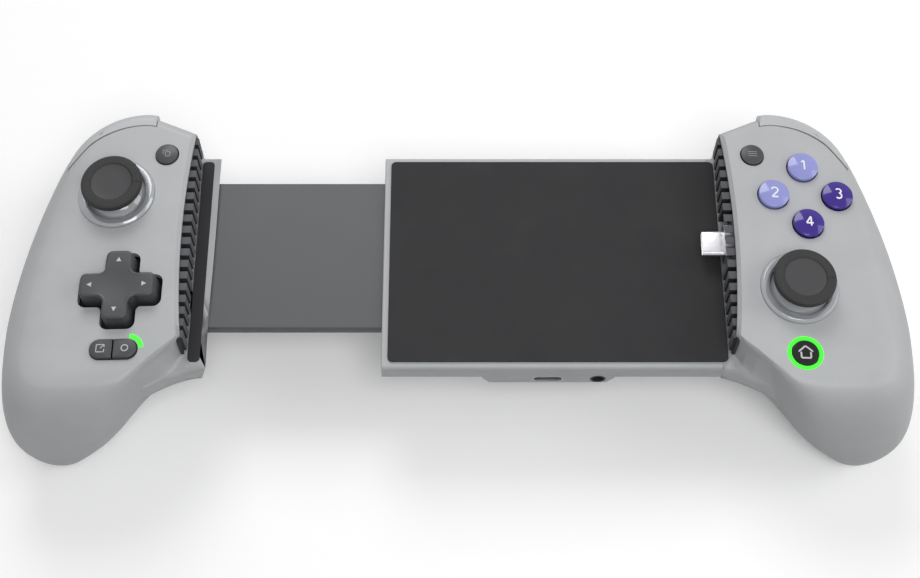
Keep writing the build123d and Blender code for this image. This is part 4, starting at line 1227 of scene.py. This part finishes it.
@dataclass
class DirectionPad:
    """D-pad: a cross with rounded corners, a rounded rim and a shallow dish in its middle."""

    spot: FaceSpot
    bench: Bench
    half_span: float = 11.6
    half_arm: float = 4.4
    tip_round: float = 2.4
    inner_round: float = 1.4
    flange_radius: float = 13.0
    flange: tuple = (-4.9, -3.9)
    height: float = 4.6
    foot: float = -3.9
    rim_round: float = 0.75
    draft: float = 0.55
    dish_reach: float = 8.5
    dish_depth: float = 0.35
    arc_points: int = 12
    run_points: int = 12
    rim_points: int = 8
    top_rings: int = 24
    arrow: tuple = (7.4, 8.8, 1.5)

    def outline(self) -> tuple[np.ndarray, np.ndarray]:
        """Outline of the cross with its outward normals.

        Each quarter has a tip corner, an inner corner turned the other way, and a tip corner:
        quarter circles, with straight runs between them sampled evenly.

        Returns:
            Points and normals, in order round the cross.
        """
        points, normals = [], []
        span, arm, tip, inner = self.half_span, self.half_arm, self.tip_round, self.inner_round
        out, back = (np.radians(np.linspace(*ends, self.arc_points)) for ends in ((0, 90), (270, 180)))
        first = np.stack([np.cos(out), np.sin(out)], axis=-1)
        hollow = np.stack([np.cos(back), np.sin(back)], axis=-1)
        stretch = [
            self.run((span, tip - arm), (span, arm - tip), (1.0, 0.0)),
            (np.array([span - tip, arm - tip]) + tip * first, first),
            self.run((span - tip, arm), (arm + inner, arm), (0.0, 1.0)),
            (np.array([arm + inner, arm + inner]) + inner * hollow, -hollow),
            self.run((arm, arm + inner), (arm, span - tip), (1.0, 0.0)),
            (np.array([arm - tip, span - tip]) + tip * first, first),
        ]
        for angle in np.arange(4) * math.pi / 2:
            turned = np.array([[math.cos(angle), math.sin(angle)], [-math.sin(angle), math.cos(angle)]])
            points += [part @ turned for part, _ in stretch]
            normals += [part @ turned for _, part in stretch]
        return np.vstack(points), np.vstack(normals)

    def run(self, start: tuple, end: tuple, aside: tuple) -> tuple[np.ndarray, np.ndarray]:
        """Points of a straight run between two ends, evenly spaced, without the ends.

        Args:
            start: Where the run starts.
            end: Where it ends.
            aside: Its outward normal.

        Returns:
            Points, and the normal at each.
        """
        share = np.linspace(0, 1, self.run_points + 2)[1:-1, None]
        path = np.array(start) + (np.array(end) - np.array(start)) * share
        return path, np.tile(np.array(aside), (len(share), 1))

    def build(self) -> None:
        """Make the key: rings up the drafted wall, round the rim and over the top to the middle.

        On the top a point at distance r from the middle lies dish_depth * (1 - (r / reach)
        squared) squared deep, and not at all past the reach.
        """
        flat, aside = self.outline()
        bend = np.linspace(0, math.pi / 2, self.rim_points)
        offsets = [0.0] + (self.draft + self.rim_round * (1 - np.cos(bend))).tolist()
        levels = [self.foot] + (self.height - self.rim_round * (1 - np.sin(bend))).tolist()
        rings = [np.column_stack([flat - aside * offset, np.full(len(flat), level)])
                 for offset, level in zip(offsets, levels)]
        top = flat - aside * offsets[-1]
        for share in np.linspace(1, 0, self.top_rings + 2)[1:-1]:
            plane = top * share
            rings.append(np.column_stack([plane, self.height - self.dish(plane)]))
        points = np.vstack(rings + [np.array([[0.0, 0.0, self.height - self.dish_depth]])])
        faces = grid_faces(len(rings), len(flat))
        last, column = (len(rings) - 1) * len(flat), np.arange(len(flat))
        after, middle = (column + 1) % len(flat), np.full(len(flat), len(points) - 1)
        faces += np.stack([last + column, last + after, middle], axis=-1).tolist()
        key = new_object("dpad_key", self.bench.datum.to_row(self.spot.to_datum(points)), faces)
        self.bench.dress(key, "dpad", CHARCOAL_ABS, "dpad")
        low, high = self.flange
        profile = np.array([[0.0, low], [self.flange_radius, low], [self.flange_radius, high], [0.0, high]])
        flange = lathe("dpad_flange", self.spot, self.bench.datum, profile)
        self.bench.dress(flange, "dpad", CHARCOAL_ABS, slot="dark_buttons")
        Print("dpad", self.spot, self.arrows(), self.height, PALE_INK, self.bench).build()
        LOG.info("D-pad built")

    def arrows(self) -> list[Stroke]:
        """Draw a small triangle on each arm, pointing outwards, as a stroke that ends in a point.

        Returns:
            One stroke for each arm.
        """
        base, tip, breadth = self.arrow
        ways = [np.array([math.cos(angle), math.sin(angle)]) for angle in np.arange(4) * math.pi / 2]
        return [Stroke(np.array([way * base, way * tip]), breadth, 0.0) for way in ways]

    def dish(self, plane: np.ndarray) -> np.ndarray:
        """Depth of the dish at points of the top."""
        share = np.clip(1 - np.sum(plane ** 2, axis=1) / self.dish_reach ** 2, 0, 1)
        return self.dish_depth * share ** 2


# Print on the keys


@dataclass(frozen=True)
class Stroke:
    """One stroke of print: a path on the key's top, with its width at both ends."""

    path: np.ndarray
    width: float
    end_width: float | None = None
    spacing: float = 0.2

    def ribbon(self) -> tuple[np.ndarray, np.ndarray]:
        """Ribbon of the stroke's width along its path.

        The path is sampled evenly. At each sample the two edges lie half a width to the left and
        to the right of it. A stroke of even width gets round ends: near them the width is
        sqrt(1 - t squared) of the full one, t being the share of the way from half a width inside.

        Returns:
            Points in the plane, three for each sample, and the quads' vertex numbers.
        """
        run = run_lengths(self.path)
        count = max(4, int(run[-1] / self.spacing)) + 1
        at = np.linspace(0, run[-1], count)
        if self.end_width is None:
            radius = min(self.width / 2, run[-1] / 2)
            ends = radius * (1 - np.cos(np.linspace(0, np.pi / 2, 7)))
            middle = at[(at > radius) & (at < run[-1] - radius)]
            at = np.unique(np.concatenate([ends, middle, run[-1] - ends]))
            inside = np.clip(np.minimum(at, run[-1] - at) / radius, 0, 1)
            half = self.width / 2 * np.sqrt(1 - (1 - inside) ** 2)
        else:
            half = np.interp(at, [0, run[-1]], [self.width / 2, self.end_width / 2])
        middle = np.stack([np.interp(at, run, self.path[:, axis]) for axis in (0, 1)], axis=-1)
        along = unit(np.gradient(middle, axis=0))
        aside = np.stack([-along[:, 1], along[:, 0]], axis=-1) * half[:, None]
        points = np.stack([middle + aside, middle, middle - aside], axis=1).reshape(-1, 2)
        row = np.arange(len(at) - 1)[:, None] * 3 + np.array([0, 1])
        quads = np.stack([row, row + 1, row + 4, row + 3], axis=-1).reshape(-1, 4)
        return points, quads


def line(*corners: tuple[float, float], width: float = 0.5) -> list[Stroke]:
    """Straight strokes from corner to corner."""
    return [Stroke(np.array(pair, float), width) for pair in zip(corners[:-1], corners[1:])]


def arc(centre: tuple[float, float], radius: float, start_deg: float, end_deg: float,
        width: float = 0.5) -> list[Stroke]:
    """Round stroke from one angle to another, counted from the right and to the left."""
    angle = np.radians(np.linspace(start_deg, end_deg, 40))
    return [Stroke(np.array(centre) + radius * np.stack([np.cos(angle), np.sin(angle)], axis=-1), width)]


def numerals() -> dict[str, list[Stroke]]:
    """Plain numerals for the face buttons, 3.7 mm high with their strokes' width.

    Returns:
        Strokes of each button's numeral.
    """
    top, foot = 1.6, -1.6
    return {
        "face_button_top": line((-0.70, 0.95), (0.15, top), (0.15, foot)),
        "face_button_left": arc((0.0, 0.66), 0.94, 165, -35) + line((0.77, 0.12), (-0.95, foot), (1.0, foot)),
        "face_button_right": arc((0.0, 0.85), 0.77, 150, -90) + arc((0.0, -0.76), 0.84, 90, -150),
        "face_button_bottom": line((0.40, foot), (0.40, top), (-1.05, -0.65), (1.10, -0.65)),
    }


def signs() -> dict[str, list[Stroke]]:
    """Plain signs of the dark keys: windows, lines, a frame with an arrow, a ring and a house.

    Returns:
        Strokes of each key's sign.
    """
    fine, bold = 0.24, 0.5
    low, high, back, start = -1.05, 0.45, 1.05, -0.35
    return {
        "view_button": line((start, low), (-low, low), (-low, high), (start, high), (start, low), width=fine)
        + line((low, start), (low, back), (high, back), width=fine),
        "menu_button": [stroke for level in (0.72, 0.0, -0.72)
                        for stroke in line((-1.4, level), (1.4, level), width=fine)],
        "share_button": line((0.35, 1.15), (-1.15, 1.15), (-1.15, -1.15), (1.15, -1.15), (1.15, -0.25),
                             width=fine)
        + line((0.0, 0.0), (1.1, 1.1), width=fine)
        + line((0.35, 1.15), (1.15, 1.15), (1.15, 0.35), width=fine),
        "mode_button": arc((0.0, 0.0), 0.95, 0, 360, width=0.3),
        "home_button": line((-2.1, 0.25), (0.0, 2.1), (2.1, 0.25), width=bold)
        + line((-1.4, 0.2), (-1.4, -1.7), (1.4, -1.7), (1.4, 0.2), width=bold),
    }


@dataclass
class Print:
    """Ink on one key: strokes that follow its domed top, a hair above it."""

    node: str
    spot: FaceSpot
    strokes: list[Stroke]
    height: float
    finish: Finish
    bench: Bench
    dome: float = 0.0
    radius: float = 1.0
    film: float = 0.02

    def build(self) -> None:
        """Make the ink: at radius r the key's top lies dome * (r / R) squared below its middle."""
        points, quads, count = [], [], 0
        for stroke in self.strokes:
            flat, faces = stroke.ribbon()
            points.append(flat)
            quads.append(faces + count)
            count += len(flat)
        plane = np.vstack(points)
        drop = self.dome * np.sum(plane ** 2, axis=1) / self.radius ** 2
        lifted = np.column_stack([plane, self.height + self.film - drop])
        ink = new_object(f"{self.node}_print", self.bench.datum.to_row(self.spot.to_datum(lifted)),
                         np.vstack(quads).tolist())
        self.bench.dress(ink, self.node, self.finish)


# Studio


@dataclass(frozen=True)
class Studio:
    """Camera at the photograph's angle, soft lamps and a plain pale floor."""

    datum: Datum
    camera_from_datum: tuple = (0.0, -226.0, 422.0)
    camera_tilt_deg: float = 26.324
    focal_mm: float = 62.19
    sensor_mm: float = 36.0
    shift_x: float = 2 / 920
    floor_size: float = 6.0
    floor_shade: str = "#B2B2B2"
    floor_seen: str = "#FDFDFD"
    floor_glow: float = 0.14
    soft_light: float = 0.25

    def build(self) -> None:
        """Make the camera, the lamps, the world and the floor."""
        scene = bpy.context.scene
        scene.view_settings.view_transform = "Standard"
        data = bpy.data.cameras.new("camera")
        data.lens = self.focal_mm
        data.sensor_width = self.sensor_mm
        data.shift_x = self.shift_x
        data.clip_start = 0.01
        camera = bpy.data.objects.new("camera", data)
        camera.location = self.datum.to_row(np.array(self.camera_from_datum)).tolist()
        camera.rotation_euler = (math.radians(self.camera_tilt_deg), 0, 0)
        scene.collection.objects.link(camera)
        scene.camera = camera
        self.lamp("key", (0.95, 0.05, 0.62), 0.60, 2.7)
        self.lamp("window", (-0.15, 0.78, 0.80), 0.55, 4.5)
        self.lamp("fill", (0.15, -0.45, 0.92), 0.50, 3.8)
        self.world()
        self.floor()

    def lamp(self, name: str, place: tuple, size: float, watts: float) -> None:
        """Hang one square soft lamp that points at the object.

        Args:
            name: Name of the lamp.
            place: Where it hangs, in metres.
            size: Its edge, in metres.
            watts: Its power.
        """
        data = bpy.data.lights.new(name, "AREA")
        data.size = size
        data.energy = watts
        lamp = bpy.data.objects.new(name, data)
        lamp.location = place
        aim = Vector((0, 0, 0.02))
        lamp.rotation_euler = (aim - Vector(place)).to_track_quat("-Z", "Y").to_euler()
        bpy.context.scene.collection.objects.link(lamp)

    @staticmethod
    def seen(tree: bpy.types.NodeTree) -> bpy.types.NodeSocket:
        """Tell the rays that show the background from those that carry light to the object.

        Args:
            tree: Node tree that asks.

        Returns:
            Output that is 1 for what the camera sees, straight or in a reflection, and else 0.
        """
        rays = add_node(tree, "ShaderNodeLightPath")
        straight = rays.outputs["Is Camera Ray"]
        for name in ("Is Glossy Ray", "Is Transmission Ray"):
            straight = add_node(tree, "ShaderNodeMath", {"operation": "MAXIMUM"},
                                {0: straight, 1: rays.outputs[name]}).outputs[0]
        return straight

    def world(self) -> None:
        """Light the scene evenly, and show white to the camera and to reflections."""
        world = bpy.data.worlds.new("studio")
        world.use_nodes = True
        tree = world.node_tree
        tree.nodes.clear()
        soft, white = (add_node(tree, "ShaderNodeBackground", inputs={
            "Color": (1, 1, 1, 1), "Strength": level}) for level in (self.soft_light, 1.0))
        mix = add_node(tree, "ShaderNodeMixShader", inputs={
            0: self.seen(tree), 1: soft.outputs[0], 2: white.outputs[0]})
        add_node(tree, "ShaderNodeOutputWorld", inputs={"Surface": mix.outputs[0]})
        bpy.context.scene.world = world

    def floor(self) -> None:
        """Lay the pale floor under the object."""
        half = self.floor_size / 2
        points = np.array([[-half, -half, 0], [half, -half, 0], [half, half, 0], [-half, half, 0]])
        floor = new_object("floor", points, [[0, 1, 2, 3]])
        material = bpy.data.materials.new("painted_board_white")
        material.use_nodes = True
        tree = material.node_tree
        tree.nodes.clear()
        seen = self.seen(tree)
        paint = add_node(tree, "ShaderNodeMix", {"data_type": "RGBA"},
                         {0: seen, 6: linear_colour(self.floor_shade), 7: linear_colour(self.floor_seen)})
        glow = add_node(tree, "ShaderNodeMath", {"operation": "MULTIPLY"}, {0: seen, 1: self.floor_glow})
        shader = add_node(tree, "ShaderNodeBsdfPrincipled", inputs={
            "Base Color": paint.outputs[2], "Roughness": 0.9, "Emission Color": (1, 1, 1, 1),
            "Emission Strength": glow.outputs[0]})
        add_node(tree, "ShaderNodeOutputMaterial", inputs={"Surface": shader.outputs["BSDF"]})
        floor.data.materials.append(material)


# The whole controller


@dataclass(frozen=True)
class Controller:
    """The whole controller: builds its parts in order, each at its place on the faces."""

    bench: Bench
    left_stick: tuple = (103.2, 12.9)
    right_stick: tuple = (100.3, -18.9)
    dpad_place: tuple = (99.1, -19.8)
    face_centre: tuple = (104.9, 12.2)
    face_pitch: float = 9.7
    face_key: tuple = (4.65, 2.3, 0.9)
    small_key: tuple = (3.45, 1.1, 0.5)
    home_key: tuple = (3.9, 0.6, 0.2)
    pill_along: float = -38.7
    pill_height: float = 1.2

    def build(self) -> None:
        """Build the studio and every piece."""
        bench = self.bench
        Studio(bench.datum).build()
        for node, piece in bench.frame["nodes"].items():
            piece.data.materials.clear()
            piece.data.materials.append(bench.shop.material(node_finish(node)))
        form = HandleForm()
        for side, place in (("left", self.left_stick), ("right", self.right_stick)):
            Handle(side, bench, HandleSkin(side, bench.datum, form)).build()
            Stick(side, FaceSpot(side, *place), bench).build()
        self.build_buttons()
        DirectionPad(FaceSpot("left", *self.dpad_place), bench).build()
        self.build_bridge()

    def build_buttons(self) -> None:
        """Make the face buttons and the small buttons with their print."""
        x, y = self.face_centre
        step, signs_of = self.face_pitch, {**numerals(), **signs()}
        for node, side, place, (radius, height, dome), finish, ink in (
                ("face_button_left", "right", (x - step, y), self.face_key, PALE_PURPLE, WHITE_INK),
                ("face_button_right", "right", (x + step, y), self.face_key, DEEP_PURPLE, WHITE_INK),
                ("face_button_top", "right", (x, y + step), self.face_key, PALE_PURPLE, WHITE_INK),
                ("face_button_bottom", "right", (x, y - step), self.face_key, DEEP_PURPLE, WHITE_INK),
                ("view_button", "left", (88.9, 26.3), self.small_key, CHARCOAL_ABS, GREY_INK),
                ("menu_button", "right", (89.9, 26.1), self.small_key, CHARCOAL_ABS, GREY_INK),
                ("home_button", "right", (100.0, -39.8), self.home_key, HOME_ABS, PALE_INK)):
            spot = FaceSpot(side, *place)
            RoundButton(node, spot, radius, height, dome, finish, self.bench).build()
            Print(node, spot, signs_of[node], height, ink, self.bench, dome, radius).build()
        for node, across in (("share_button", 102.85), ("mode_button", 95.75)):
            spot = FaceSpot("left", across, self.pill_along)
            Print(node, spot, signs_of[node], self.pill_height, PALE_INK, self.bench).build()
        LOG.info("buttons built")

    def build_bridge(self) -> None:
        """Round the edges of the bridge, its pads and slider, the plug and the pill-shaped pair."""
        for node, edge in (("bridge_front_cover", 0.3), ("bridge_back_cover", 0.4), ("bridge_pad", 0.15),
                           ("shelf_pad", 0.15), ("bridge_slider", 0.3), ("usb_plug", 0.1),
                           ("share_button", 0.15), ("mode_button", 0.15)):
            piece = welded_copy(node)
            round_edges(piece, edge)
            body = self.bench.frame["nodes"][node]["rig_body"]
            self.bench.dress(piece, body, node_finish(node), node)
        LOG.info("bridge built")


def main() -> None:
    """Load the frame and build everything."""
    logging.basicConfig(level=logging.INFO)
    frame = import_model()
    Controller(Bench.from_frame(frame)).build()
    bpy.context.view_layer.update()


if __name__ == "__main__":
    main()
